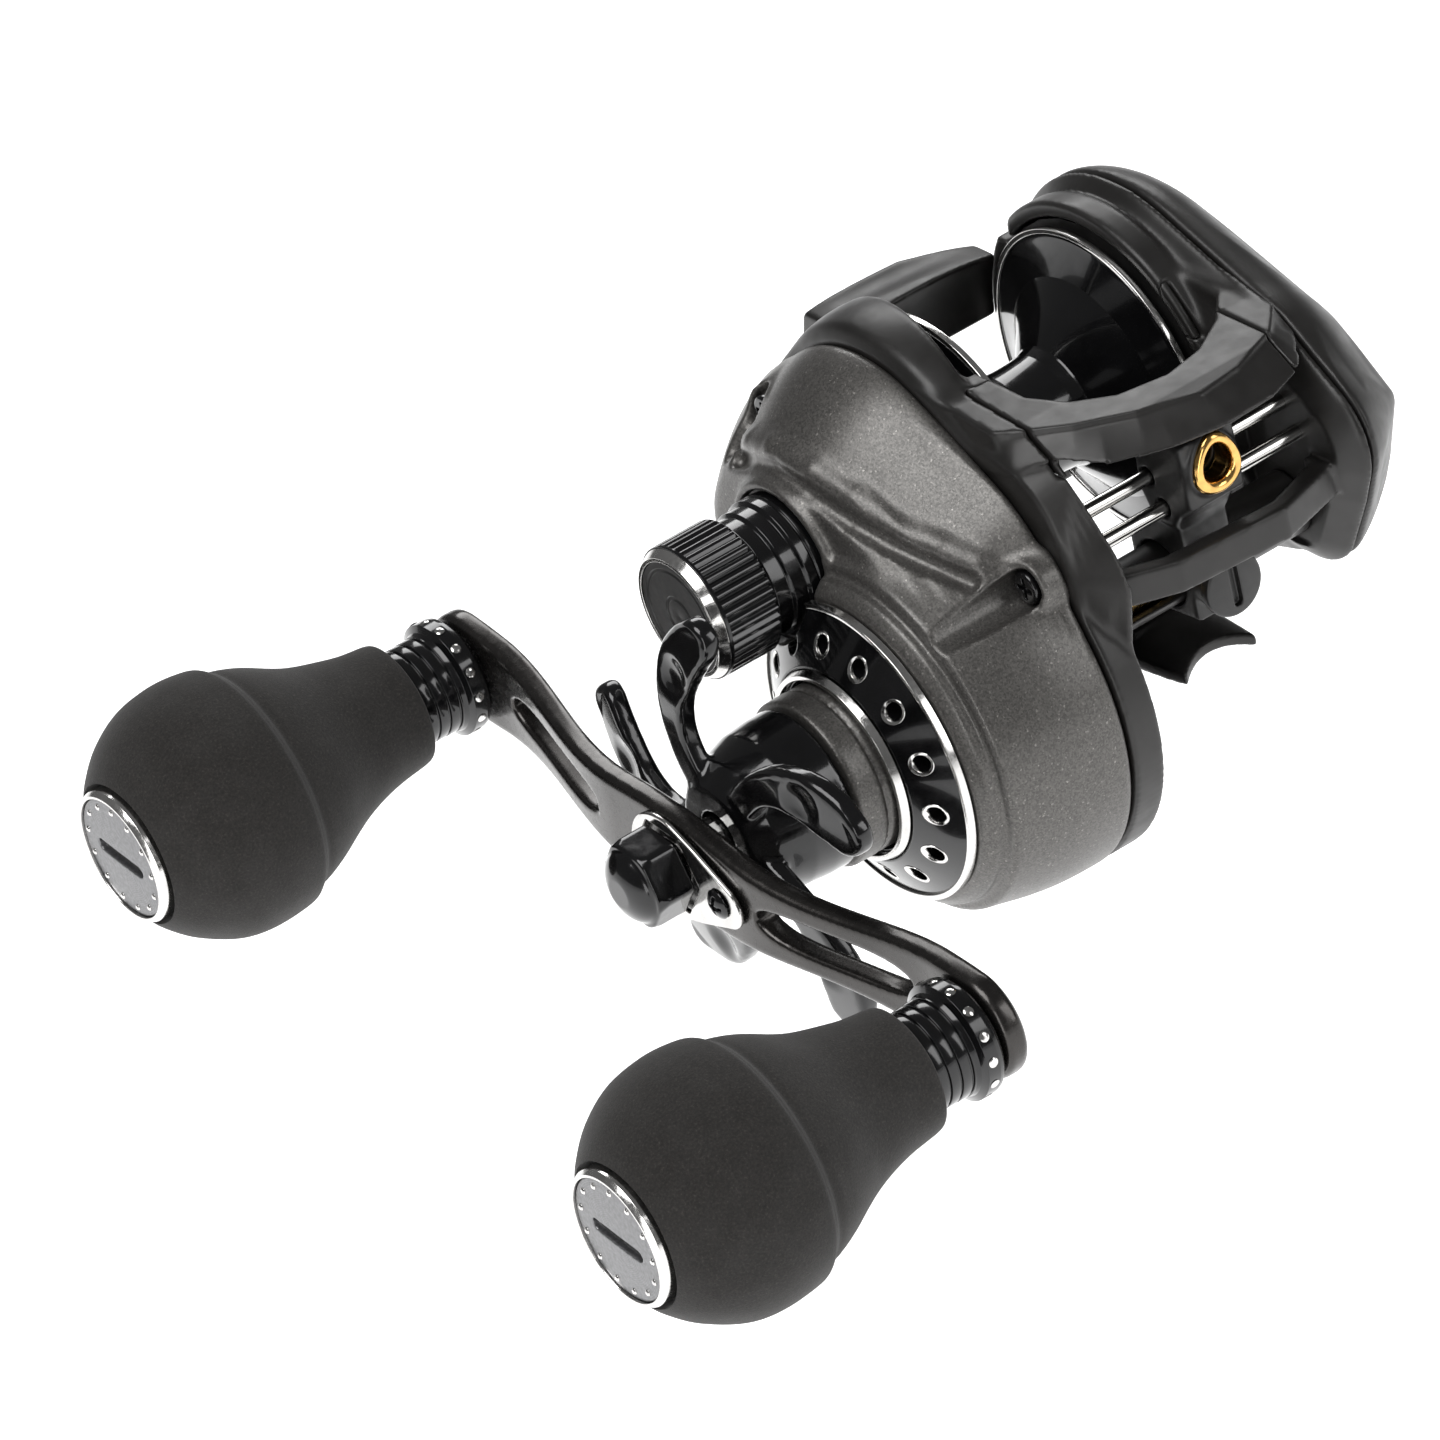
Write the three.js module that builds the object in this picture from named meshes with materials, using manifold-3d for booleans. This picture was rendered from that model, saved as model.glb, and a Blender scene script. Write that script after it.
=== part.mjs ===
// Low-profile baitcasting reel, right-hand retrieve, millimetres.
// Origin: middle of the foot's seat. +Z up from the rod, -Y along the line towards the rod tip,
// -X towards the handle, +X towards the palm side.
import * as THREE from 'three';
import { mergeVertices } from 'three/addons/utils/BufferGeometryUtils.js';
import Module from 'manifold-3d';

const wasm = await Module();
wasm.setup();

// ---- driving dimensions -------------------------------------------------------------------
const GAP = 0.3;                 // running or fitting gap between neighbouring pieces
const SPOOL = { y: 0, z: 21.4 }; // axes that run along X
const DRIVE = { y: -14.1, z: 2.5 };
const WORM = { y: -27, z: 12.5 };
const REAR_ROD = { y: -29.2, z: 26.4 };
const FRONT_ROD = { y: -31.2, z: 23.0 };

const SPOOL_R = 19.4;            // flange radius
const SPOOL_HALF = 11.75;        // half the distance over the flanges
const BORE_R = 20.1;             // round opening that the spool sits in
const SHAFT_R = 1.6;

const PLATE_OUT = -19.2;         // handle-side plate of the frame
const PLATE_IN = -16;
const RIM_IN = 12.4;             // palm-side rim, just outside the spool's flange
const RING_IN = 15.6;            // palm-side plate of the frame
const RING_OUT = 18.4;
const COVER_SEAM = PLATE_OUT - GAP;
const COVER_FACE = -34;          // face that carries the tension boss
const DISC_FACE = -37.8;         // raised face that carries the trim ring
const BOSS_END = -47.2;          // end of the bearing boss
const COVER_WALL = 1.8;
const PALM_SEAM = RING_OUT + GAP;
const PALM_FACE = 28.2;

const GEAR_CENTRES = Math.hypot(SPOOL.y - DRIVE.y, SPOOL.z - DRIVE.z);
const MAIN_TEETH = 71;
const PINION_TEETH = 10;
const GEAR_MODULE = 2 * GEAR_CENTRES / (MAIN_TEETH + PINION_TEETH);
const WORM_CENTRES = Math.hypot(WORM.y - DRIVE.y, WORM.z - DRIVE.z);
const WORM_DRIVE_TEETH = 30;
const WORM_GEAR_TEETH = 12;
const WORM_MODULE = 2 * WORM_CENTRES / (WORM_DRIVE_TEETH + WORM_GEAR_TEETH);

const ARM_LENGTH = 95;           // between the two knob axes
const HANDLE_TILT = THREE.MathUtils.degToRad(6.93);
const ARM_OUT = -66.2;           // outer face of the handle at its middle
const ARM_THICK = 3;
const ARM_BEND = 4.9;            // how far the arm's ends sit closer to the reel
const KNOB_END = -109.7;
const KNOB_R = 15.5;

const FOOT_LENGTH = 60;
const FOOT_WIDTH = 12;
const FOOT_THICK = 1.5;
const FOOT_SAGITTA = 1.3;

// ---- materials ----------------------------------------------------------------------------
const paint = (color, roughness, metalness) =>
  () => new THREE.MeshStandardMaterial({ color, roughness, metalness });
const graphitePaint = paint(0x4b4a48, 0.45, 0.6);
const blackPaint = paint(0x1c1b1b, 0.45, 0.4);
const glossBlack = paint(0x0a0a0b, 0.15, 0.6);
const plasticBlack = paint(0x141414, 0.55, 0);
const gunmetal = paint(0x2b2a2a, 0.25, 0.8);
const steel = paint(0xc4c3c0, 0.2, 1);
const brass = paint(0xb68b3c, 0.3, 1);
const gold = paint(0xe0a748, 0.18, 1);
const foam = paint(0x1d1a18, 0.95, 0);
const carbon = paint(0x232323, 0.7, 0.1);
const magnetGrey = paint(0x8a8a8c, 0.35, 0.9);

// ---- solids -------------------------------------------------------------------------------
// A closed solid from a three.js geometry, with its faces pointing out.
function solid(geometry) {
  const bare = new THREE.BufferGeometry();
  bare.setAttribute('position', geometry.getAttribute('position').clone());
  if (geometry.index) bare.setIndex(geometry.index.clone());
  const merged = mergeVertices(bare, 1e-4);
  const vertProperties = Float32Array.from(merged.getAttribute('position').array);
  const indices = [];
  for (let i = 0; i < merged.index.count; i += 3) {
    const [a, b, c] = [0, 1, 2].map((k) => merged.index.getX(i + k));
    if (a !== b && b !== c && c !== a) indices.push(a, b, c);
  }
  let volume = 0;
  const at = (i) => new THREE.Vector3().fromArray(vertProperties, 3 * i);
  for (let i = 0; i < indices.length; i += 3) {
    volume += at(indices[i]).dot(at(indices[i + 1]).cross(at(indices[i + 2])));
  }
  if (volume < 0) indices.reverse();
  const triVerts = Uint32Array.from(indices);
  return new wasm.Manifold(new wasm.Mesh({ numProp: 3, vertProperties, triVerts }));
}

function geometryOf(body) {
  const mesh = body.getMesh();
  const geometry = new THREE.BufferGeometry();
  geometry.setAttribute('position', new THREE.BufferAttribute(mesh.vertProperties, 3));
  geometry.setIndex(new THREE.BufferAttribute(mesh.triVerts, 1));
  geometry.computeVertexNormals();
  return geometry;
}

const join = (bodies) => bodies.reduce((sum, body) => sum.add(body));
const cut = (body, tools) => tools.reduce((rest, tool) => rest.subtract(tool), body);

// A turned piece about the X axis, from [x, radius] pairs. A ring's outline closes on itself.
function turned(outline, segments = 16) {
  const points = outline.map(([x, r]) => new THREE.Vector2(r, x));
  if (outline.every(([, r]) => r > 0)) points.push(points[0].clone());
  const geometry = new THREE.LatheGeometry(points, segments);
  geometry.rotateZ(-Math.PI / 2);
  return solid(geometry);
}

function tube(x0, x1, outer, inner, segments = 16) {
  return turned([[x0, inner], [x0, outer], [x1, outer], [x1, inner]], segments);
}

function rod(x0, x1, radius, segments = 16) {
  return turned([[x0, 0], [x0, radius], [x1, radius], [x1, 0]], segments);
}

function shapeOf(points, holes = []) {
  const outline = points.map(([u, v]) => new THREE.Vector2(u, v));
  if (THREE.ShapeUtils.isClockWise(outline)) outline.reverse();
  const shape = new THREE.Shape(outline);
  shape.holes = holes.map((hole) => new THREE.Path(hole.map(([u, v]) => new THREE.Vector2(u, v))));
  return shape;
}

// An outline in (y, z) carried from x0 to x1.
function plateX(points, x0, x1, holes = []) {
  const geometry = new THREE.ExtrudeGeometry(shapeOf(points, holes),
    { depth: x1 - x0, bevelEnabled: false });
  const [x, y, z] = [[1, 0, 0], [0, 1, 0], [0, 0, 1]].map((v) => new THREE.Vector3(...v));
  geometry.applyMatrix4(new THREE.Matrix4().makeBasis(y, z, x));
  geometry.translate(x0, 0, 0);
  return solid(geometry);
}

// An outline in (x, z) carried from y0 to y1.
function plateY(points, y0, y1, holes = []) {
  const geometry = new THREE.ExtrudeGeometry(shapeOf(points, holes),
    { depth: y1 - y0, bevelEnabled: false });
  geometry.rotateX(Math.PI / 2);
  geometry.translate(0, y1, 0);
  return solid(geometry);
}

// An outline in (x, y) carried from z0 to z1.
function plateZ(points, z0, z1) {
  const geometry = new THREE.ExtrudeGeometry(shapeOf(points),
    { depth: z1 - z0, bevelEnabled: false });
  geometry.translate(0, 0, z0);
  return solid(geometry);
}

function block(x0, x1, y0, y1, z0, z1) {
  const geometry = new THREE.BoxGeometry(x1 - x0, y1 - y0, z1 - z0);
  geometry.translate((x0 + x1) / 2, (y0 + y1) / 2, (z0 + z1) / 2);
  return solid(geometry);
}

// A cylinder along Y, at (x, z).
function rodY(x, z, y0, y1, radius, segments = 16) {
  const geometry = new THREE.CylinderGeometry(radius, radius, y1 - y0, segments);
  geometry.translate(x, (y0 + y1) / 2, z);
  return solid(geometry);
}

const circle = (y, z, r, count = 24, start = 0) => Array.from({ length: count }, (_, i) => {
  const angle = start + 2 * Math.PI * i / count;
  return [y + r * Math.cos(angle), z + r * Math.sin(angle)];
});

// The part of an outline between two radii and two angles, in degrees.
function sector(y, z, inner, outer, from, to, steps = 8) {
  const arc = (r, a, b) => Array.from({ length: steps + 1 }, (_, i) => {
    const angle = THREE.MathUtils.degToRad(a + (b - a) * i / steps);
    return [y + r * Math.cos(angle), z + r * Math.sin(angle)];
  });
  return [...arc(outer, from, to), ...arc(inner, to, from)];
}

// The tight outline round a set of circles [y, z, r]: their convex hull.
function around(circles, count = 24) {
  const points = circles.flatMap(([y, z, r]) => circle(y, z, r, count));
  points.sort((a, b) => a[0] - b[0] || a[1] - b[1]);
  const side = (o, a, b) => (a[0] - o[0]) * (b[1] - o[1]) - (a[1] - o[1]) * (b[0] - o[0]);
  const half = (list) => {
    const chain = [];
    for (const point of list) {
      while (chain.length > 1 && side(chain.at(-2), chain.at(-1), point) <= 1e-9) chain.pop();
      chain.push(point);
    }
    return chain.slice(0, -1);
  };
  return [...half(points), ...half(points.reverse())];
}

// The outline round a set of circles, read at equal angles from a centre, for lofting.
function evenly([cy, cz], circles, count) {
  const hull = around(circles);
  return Array.from({ length: count }, (_, i) => {
    const angle = 2 * Math.PI * i / count;
    const [dy, dz] = [Math.cos(angle), Math.sin(angle)];
    let reach = 0;
    hull.forEach(([ay, az], k) => {
      const [by, bz] = hull[(k + 1) % hull.length];
      const [ey, ez] = [by - ay, bz - az];
      const cross = dy * ez - dz * ey;
      if (Math.abs(cross) < 1e-9) return;
      const t = ((ay - cy) * ez - (az - cz) * ey) / cross;
      const s = ((ay - cy) * dz - (az - cz) * dy) / cross;
      if (t > 0 && s > -1e-6 && s < 1 + 1e-6) reach = Math.max(reach, t);
    });
    return [cy + reach * dy, cz + reach * dz];
  });
}

// A skin through outlines that lie at given x places, with flat ends.
function loft(sections, centre, count = 32) {
  const rings = sections.map(({ x, circles }) =>
    evenly(centre, circles, count).map(([y, z]) => [x, y, z]));
  const positions = rings.flat(2);
  const indices = [];
  for (let s = 0; s + 1 < rings.length; s += 1) {
    for (let i = 0; i < count; i += 1) {
      const j = (i + 1) % count;
      const [a, b, c, d] = [s * count + i, s * count + j, (s + 1) * count + i, (s + 1) * count + j];
      indices.push(a, b, d, a, d, c);
    }
  }
  for (const [first, flip] of [[0, true], [(rings.length - 1) * count, false]]) {
    const hub = positions.length / 3;
    positions.push(positions[3 * first], ...centre);
    for (let i = 0; i < count; i += 1) {
      const [a, b] = [first + i, first + (i + 1) % count];
      indices.push(...(flip ? [hub, b, a] : [hub, a, b]));
    }
  }
  const geometry = new THREE.BufferGeometry();
  geometry.setAttribute('position', new THREE.Float32BufferAttribute(positions, 3));
  geometry.setIndex(indices);
  return solid(geometry);
}

// A spur gear's outline with straight-sided teeth.
function gearOutline(teeth, module, phase = 0) {
  const pitch = 2 * Math.PI / teeth;
  const [root, tip] = [module * (teeth / 2 - 1.2), module * (teeth / 2 + 0.85)];
  const corners = [[-0.36, root], [-0.13, tip], [0.13, tip], [0.36, root]];
  return Array.from({ length: teeth }, (_, i) => corners.map(([t, r]) => {
    const angle = phase + (i + t) * pitch;
    return [r * Math.cos(angle), r * Math.sin(angle)];
  })).flat();
}

// A round wire bent into a coil along X.
function coilSpring(x0, x1, radius, wire, turns) {
  class Helix extends THREE.Curve {
    getPoint(t, target = new THREE.Vector3()) {
      const angle = 2 * Math.PI * turns * t;
      return target.set(x0 + (x1 - x0) * t, radius * Math.cos(angle), radius * Math.sin(angle));
    }
  }
  const section = shapeOf(circle(0, 0, wire, 5));
  const geometry = new THREE.ExtrudeGeometry(section,
    { steps: Math.round(turns * 8), extrudePath: new Helix() });
  return solid(geometry);
}

const reel = new THREE.Group();

function place(parent, name, body, material) {
  const mesh = new THREE.Mesh(geometryOf(body), material());
  mesh.name = name;
  parent.add(mesh);
}

function axisGroup({ y, z }, parent = reel) {
  const group = new THREE.Group();
  group.position.set(0, y, z);
  parent.add(group);
  return group;
}

const at = ({ y, z }, body) => body.translate([0, y, z]);

// ---- outlines shared by the frame and the covers ------------------------------------------
// Circles that wrap the drive gear, the spool, the front shoulder and the thumb bar's end.
function gearSide(drive, spool, shoulder, rear) {
  return [
    [DRIVE.y, DRIVE.z, drive],
    [SPOOL.y, SPOOL.z - 1.9, spool],
    [DRIVE.y + 0.6, DRIVE.z + 12.5, shoulder],
    [SPOOL.y + 8, SPOOL.z - 2.4, rear],
  ];
}

// Circles that wrap the spool, the level wind and the thumb bar's end on the palm side.
function palmSide(spool, front, rear) {
  return [
    [SPOOL.y, SPOOL.z, spool],
    [SPOOL.y - 18, SPOOL.z - 1.4, front],
    [SPOOL.y + 7, SPOOL.z - 1, rear],
  ];
}

const FRONT_LOBE = [-31.5, 21, 8.2];
const GEAR_CENTRE = [-7, 12];
const PALM_CENTRE = [-8, 21];

// ---- frame and hood -----------------------------------------------------------------------
const BAR_LINE = [[-16.5, -34.6], [-8.5, -38.6], [6, -39.7], [16.1, -36.6]];
const BAR_DEPTH = 2.4;
const BAR_Z = [16.9, 20.6];
const THUMB_ANGLES = [4, 33];
const THUMB_RADII = [20.9, 27.2];
const THUMB_TRAVEL = 4.5;
const POST_OFFSET = 11;
const POSTS = [-1, 1].map((side) => {
  const [uy, uz] = [(SPOOL.y - DRIVE.y) / GEAR_CENTRES, (SPOOL.z - DRIVE.z) / GEAR_CENTRES];
  return { y: SPOOL.y + side * POST_OFFSET * uz, z: SPOOL.z - side * POST_OFFSET * uy };
});
const DOG = { y: 2.6, z: -5.4 };
const COVER_SCREWS = [
  { name: 'front', y: -29, z: 21.3, seat: -21.4 },
  { name: 'rear', y: 13, z: 31.5, seat: -24.5 },
];
const FOOT_SCREW_Y = 16.6;

function buildFrame() {
  const lobe = [FRONT_LOBE, [WORM.y, WORM.z, 7], [-22, 24, 12]];
  const plate = join([
    plateX(around(gearSide(23.9, 21.3, 18.7, 17.3)), PLATE_OUT, PLATE_IN),
    plateX(around(lobe), PLATE_OUT, PLATE_IN),
    at(SPOOL, tube(PLATE_IN - 0.1, -11, 22, BORE_R, 28)),
  ]);
  const ring = join([
    plateX(around(palmSide(23, 17.6, 18)), RING_IN, RING_OUT),
    plateX(around(lobe), RING_IN, RING_OUT),
    at(SPOOL, tube(RIM_IN, RING_IN + 0.1, 22.4, BORE_R, 28)),
  ]);
  const bars = [
    block(PLATE_IN - 0.1, RING_IN + 0.1, FOOT_SCREW_Y - 2, FOOT_SCREW_Y + 2.2, 1.9, 6),
    block(PLATE_IN - 0.1, RING_IN + 0.1, -FOOT_SCREW_Y - 2.2, -FOOT_SCREW_Y + 2, 1.9, 6),
    block(PLATE_IN - 0.1, RING_IN + 0.1, 20.6, 23.4, 9, 13),
  ];
  const front = plateZ([
    ...BAR_LINE,
    ...[...BAR_LINE].reverse().map(([x, y]) => [x, y + BAR_DEPTH]),
  ], ...BAR_Z);
  const through = [
    at(SPOOL, rod(PLATE_OUT - 1, PLATE_IN + 1, 6.3)),
    at(DRIVE, rod(PLATE_OUT - 1, PLATE_IN + 1, 5.6)),
    at(WORM, rod(PLATE_OUT - 1, PLATE_IN + 1, 3.5)),
    at(WORM, rod(RING_IN - 1, RING_IN + 2, 3.5)),
    at(SPOOL, rod(RING_IN - 1, RING_OUT + 1, BORE_R, 28)),
    block(PLATE_OUT - 1, -10.6, 19.8, 23.6, 17.4, 26.2),
    ...[REAR_ROD, FRONT_ROD].map((axis) => at(axis, rod(PLATE_IN - 2, RING_IN + 2, 1.1, 10))),
    ...COVER_SCREWS.map((axis) => at(axis, rod(PLATE_OUT - 1, PLATE_IN + 1, 1.5, 10))),
    ...[-1, 1].map((side) => plateZ(circle(0, side * FOOT_SCREW_Y, 1.3, 10), 1, 5)),
  ];
  const posts = [
    ...POSTS.map((axis) => at(axis, rod(-30.4, PLATE_OUT + 1, 1, 10))),
    at(DOG, rod(-23.6, PLATE_OUT + 1, 1, 10)),
  ];
  return cut(join([plate, ring, ...bars, front, ...posts]), through);
}

function buildHood() {
  const section = [[-38.2, 33.5], [-37.8, 35.2], [-30.5, 37.4], [-22.4, 36.4], [-20.9, 33.8],
    [-29.5, 35], [-36.8, 33.4]];
  const middle = plateX(section, PLATE_IN + GAP, RING_IN - GAP);
  const visor = [[-17, -33.4], [-8.5, -37.6], [6, -38.8], [16, -35.6]];
  const openingEdge = [[16, -20], [12.5, -24], [6.6, -27.5], [1.2, -28.8], [-4.9, -27.7],
    [-8.9, -24.3], [-11.7, -19.8], [-17, -15]];
  const bow = plateZ([...visor, ...openingEdge], 30, 40);
  return middle.intersect(bow);
}

function buildFoot() {
  const radius = (FOOT_WIDTH ** 2 / 4 + FOOT_SAGITTA ** 2) / (2 * FOOT_SAGITTA);
  const half = Math.asin(FOOT_WIDTH / 2 / radius);
  const steps = 5;
  const under = Array.from({ length: steps + 1 }, (_, i) => {
    const angle = -half + 2 * half * i / steps;
    return [radius * Math.sin(angle), radius * (Math.cos(angle) - Math.cos(half / steps))];
  });
  const over = [...under].reverse().map(([x, z]) => [x, z + FOOT_THICK]);
  const saddle = plateY([...under, ...over], -FOOT_LENGTH / 2, FOOT_LENGTH / 2);
  const plan = plateZ([[-4.6, -30], [4.6, -30], [6.1, -22], [6.1, 22], [4.6, 30], [-4.6, 30],
    [-6.1, 22], [-6.1, -22]], -3, 4);
  const pads = [-1, 1].map((side) =>
    block(-4, 4, side * FOOT_SCREW_Y - 2.6, side * FOOT_SCREW_Y + 2.6, 0.6, 1.6));
  const holes = [-1, 1].map((side) => plateZ(circle(0, side * FOOT_SCREW_Y, 1.3, 10), -1, 4));
  const sinks = [-1, 1].map((side) => plateZ(circle(0, side * FOOT_SCREW_Y, 2.3, 10), -1, 0.6));
  return cut(join([saddle.intersect(plan), ...pads]), [...holes, ...sinks]);
}

function buildFootScrew(y) {
  return join([plateZ(circle(0, y, 1, 10), 0.1, 4.6), plateZ(circle(0, y, 2, 10), 0.05, 0.35)]);
}

place(reel, 'frame', buildFrame(), blackPaint);
place(reel, 'front_hood', buildHood(), blackPaint);
place(reel, 'reel_foot', buildFoot(), blackPaint);
place(reel, 'foot_screw_front', buildFootScrew(-FOOT_SCREW_Y), steel);
place(reel, 'foot_screw_rear', buildFootScrew(FOOT_SCREW_Y), steel);

// ---- gear-side cover ----------------------------------------------------------------------
const TENSION_CLEAR = 8.5;       // round recess that the tension boss stands in
function buildGearCover() {
  const boss = at(SPOOL, rod(-50, COVER_FACE, TENSION_CLEAR));
  const outer = loft([
    { x: COVER_SEAM, circles: gearSide(24, 21.4, 19, 17.4) },
    { x: -23.5, circles: gearSide(23.9, 20.4, 17, 16.4) },
    { x: -29, circles: gearSide(23.5, 17.2, 14, 13) },
    { x: COVER_FACE, circles: gearSide(21.5, 12.4, 11.2, 8.2) },
  ], GEAR_CENTRE, 24);
  const inner = loft([
    { x: COVER_SEAM + 1, circles: gearSide(22.6, 19.8, 17.6, 15.8) },
    { x: -23.5, circles: gearSide(22.5, 18.8, 15.6, 14.8) },
    { x: -29, circles: gearSide(22, 15.6, 12.6, 11.4) },
    { x: COVER_FACE + COVER_WALL, circles: gearSide(20, 10.8, 9.8, 6.6) },
  ], GEAR_CENTRE, 24);
  const disc = cut(at(DRIVE, turned([[-33, 0], [-33, 20.6], [-36.6, 20.2], [DISC_FACE, 19.2],
    [DISC_FACE, 10.4], [BOSS_END, 10.4], [BOSS_END, 0]], 28)), [boss]);
  const hollow = [
    at(DRIVE, rod(-35.8, -31, 14.6, 28)),
    at(DRIVE, rod(-45.6, -31, 9)),
    at(DRIVE, rod(BOSS_END - 1, -31, 6.6)),
    at(SPOOL, rod(COVER_FACE - 2, -30, 6.6)),
    ...COVER_SCREWS.flatMap((screw) => [
      at(screw, rod(-40, PLATE_OUT, 1.5, 10)),
      at(screw, rod(-40, screw.seat, 2.6, 10)),
    ]),
  ];
  const posts = COVER_SCREWS.map((screw) => at(screw, rod(screw.seat - 1, COVER_SEAM, 3.4, 20)));
  const shell = join([cut(join([outer, disc]), [inner]), ...posts]);
  return cut(shell, hollow);
}

function buildCoverScrew(seat) {
  const head = rod(seat - 1.8, seat - GAP, 2.2, 10);
  const slots = [[1.5, 0.3], [0.3, 1.5]].map(([a, b]) => block(seat - 3, seat - 1.2, -a, a, -b, b));
  return cut(join([head, rod(seat - 1, -16.4, 1.2, 10)]), slots);
}

const TRIM_HOLES = 14;
function buildTrimRing() {
  const cone = turned([[DISC_FACE - GAP, 10.8], [DISC_FACE - GAP, 18.26], [-38.6, 18.26],
    [-42.4, 11.4], [-42.4, 10.8]], 28);
  const holes = Array.from({ length: TRIM_HOLES }, (_, i) => {
    const [y, z] = circle(0, 0, 14.8, TRIM_HOLES, 0.13)[i];
    return at({ y, z }, rod(-44, -36, 1.1, 6));
  });
  const recess = at({ y: SPOOL.y - DRIVE.y, z: SPOOL.z - DRIVE.z }, rod(-50, -30, TENSION_CLEAR));
  return cut(cone, [...holes, recess]);
}

place(reel, 'gear_side_cover', buildGearCover(), graphitePaint);
for (const screw of COVER_SCREWS) {
  place(axisGroup(screw), `cover_screw_${screw.name}`, buildCoverScrew(screw.seat), blackPaint);
}

const spoolLine = axisGroup(SPOOL);
const driveLine = axisGroup(DRIVE);
const wormLine = axisGroup(WORM);

place(driveLine, 'trim_ring', buildTrimRing(), glossBlack);

// ---- bearings and tension assembly --------------------------------------------------------
// A bearing: two races joined behind the balls' channel, which is open on one side.
function bearing(x0, x1, outer, inner) {
  const race = (outer - inner) * 0.28;
  const side = (x1 - x0) * 0.2;
  return turned([
    [x0, inner], [x0, inner + race], [x0 + side, inner + race], [x0 + side, outer - race],
    [x0, outer - race], [x0, outer], [x1, outer], [x1, inner],
  ], 16);
}

place(spoolLine, 'pinion_bearing', bearing(-18.9, -16.2, 6, 3.9), steel);
place(spoolLine, 'palm_bearing', bearing(13.6, 16.2, 5, SHAFT_R + 0.2), steel);
place(spoolLine, 'tension_bearing', bearing(-38.8, -36.4, 4.6, SHAFT_R + 0.2), steel);
place(driveLine, 'shaft_bearing', bearing(-18.9, -16.2, 5.3, 3), steel);
place(driveLine, 'one_way_bearing', bearing(-45.3, -37.2, 8.7, 6.2), steel);
place(spoolLine, 'tension_boss', turned([
  [-31.6, 4.9], [-31.6, 6.3], [-34.3, 6.3], [-34.3, 8.2], [-37.4, 8.2], [-37.4, 7.3],
  [-41.6, 7.3], [-41.6, 4.9],
]), glossBlack);
place(spoolLine, 'tension_knob', buildTensionKnob(), glossBlack);

function buildTensionKnob() {
  const ribs = 24;
  const knurl = Array.from({ length: 2 * ribs }, (_, i) => {
    const angle = Math.PI * i / ribs;
    const r = i % 2 ? 8.0 : 8.35;
    return [r * Math.cos(angle), r * Math.sin(angle)];
  });
  const cap = join([
    plateX(knurl, -49.3, -42),
    turned([[-49.2, 0], [-49.2, 8], [-50.4, 7.53], [-50.4, 6.9], [-50.2, 6.8], [-50.2, 0]]),
  ]);
  return cut(cap, [rod(-43.4, -41, 7.4)]);
}

// ---- spool --------------------------------------------------------------------------------
const ARBOR_R = 7;
const PIN_X = -15.1;
function buildSpool() {
  const groove = Array.from({ length: 11 }, (_, i) => {
    const x = 10.9 * Math.cos(Math.PI * i / 10);
    return [x, ARBOR_R + (SPOOL_R - 1.2 - ARBOR_R) * Math.abs(x / 10.9) ** 3.2];
  });
  return turned([
    [11.4, SPOOL_R], [10.9, SPOOL_R - 0.2], ...groove, [-10.9, SPOOL_R - 0.2], [-11.4, SPOOL_R],
    [-SPOOL_HALF, SPOOL_R - 0.3], [-SPOOL_HALF, 16.6], [-10.4, 14.4], [-7, 6], [-7, SHAFT_R + 0.2],
    [3, SHAFT_R + 0.2], [3, 6], [7.4, 11.2], [10.4, 15.4], [SPOOL_HALF, 16.6],
    [SPOOL_HALF, SPOOL_R - 0.3],
  ], 28);
}

place(spoolLine, 'spool', buildSpool(), glossBlack);
place(spoolLine, 'spool_shaft', join([
  turned([[-41.6, 0], [-42, 0.8], [-41.4, SHAFT_R], [16.4, SHAFT_R], [17, 0.8], [16.8, 0]], 20),
  block(PIN_X - 0.4, PIN_X + 0.4, -0.3, 0.3, -2.6, 2.6),
]), steel);
place(spoolLine, 'brake_rotor', tube(4, 9.4, 5.6, SHAFT_R + 0.2), magnetGrey);

// ---- pinion and clutch --------------------------------------------------------------------
const YOKE_X = [-22.6, -21.2];
function buildPinion() {
  const phase = Math.atan2(DRIVE.z - SPOOL.z, DRIVE.y - SPOOL.y) + Math.PI / PINION_TEETH;
  const body = join([
    plateX(gearOutline(PINION_TEETH, GEAR_MODULE, phase), -29.5, -23.4),
    turned([[-23.5, 0], [-23.5, 3.7], [-22.9, 3.7], [-22.9, 2.8], [-20.9, 2.8], [-20.9, 3.6],
      [-14.6, 3.6], [-14.6, 0]], 24),
  ]);
  return cut(body, [rod(-31, -13, SHAFT_R + 0.25, 20),
    block(-15.8, -14, -0.6, 0.6, -4, 4)]);
}

function buildYoke() {
  const eyes = POSTS.map((axis) => at(axis, rod(...YOKE_X, 2.4, 20)));
  const across = plateX(around(POSTS.map(({ y, z }) => [y, z, 2]), 10), ...YOKE_X);
  const collar = at(SPOOL, rod(...YOKE_X, 5));
  const slot = at(SPOOL, rod(-24, -20, 3.1));
  const mouth = [SPOOL.y, SPOOL.y + 8, SPOOL.z - 3.1, SPOOL.z + 3.1];
  return cut(join([...eyes, across, collar]), [slot,
    block(-24, -20, ...mouth),
    ...POSTS.map((axis) => at(axis, rod(-24, -20, 1.4, 10)))]);
}

place(spoolLine, 'pinion_gear', buildPinion(), brass);
place(reel, 'clutch_yoke', buildYoke(), plasticBlack);
for (const [i, name] of ['upper', 'lower'].entries()) {
  place(axisGroup(POSTS[i]), `yoke_spring_${name}`,
    coilSpring(-30, YOKE_X[0] - 1.6, 1.65, 0.25, 3.5), steel);
}

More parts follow.
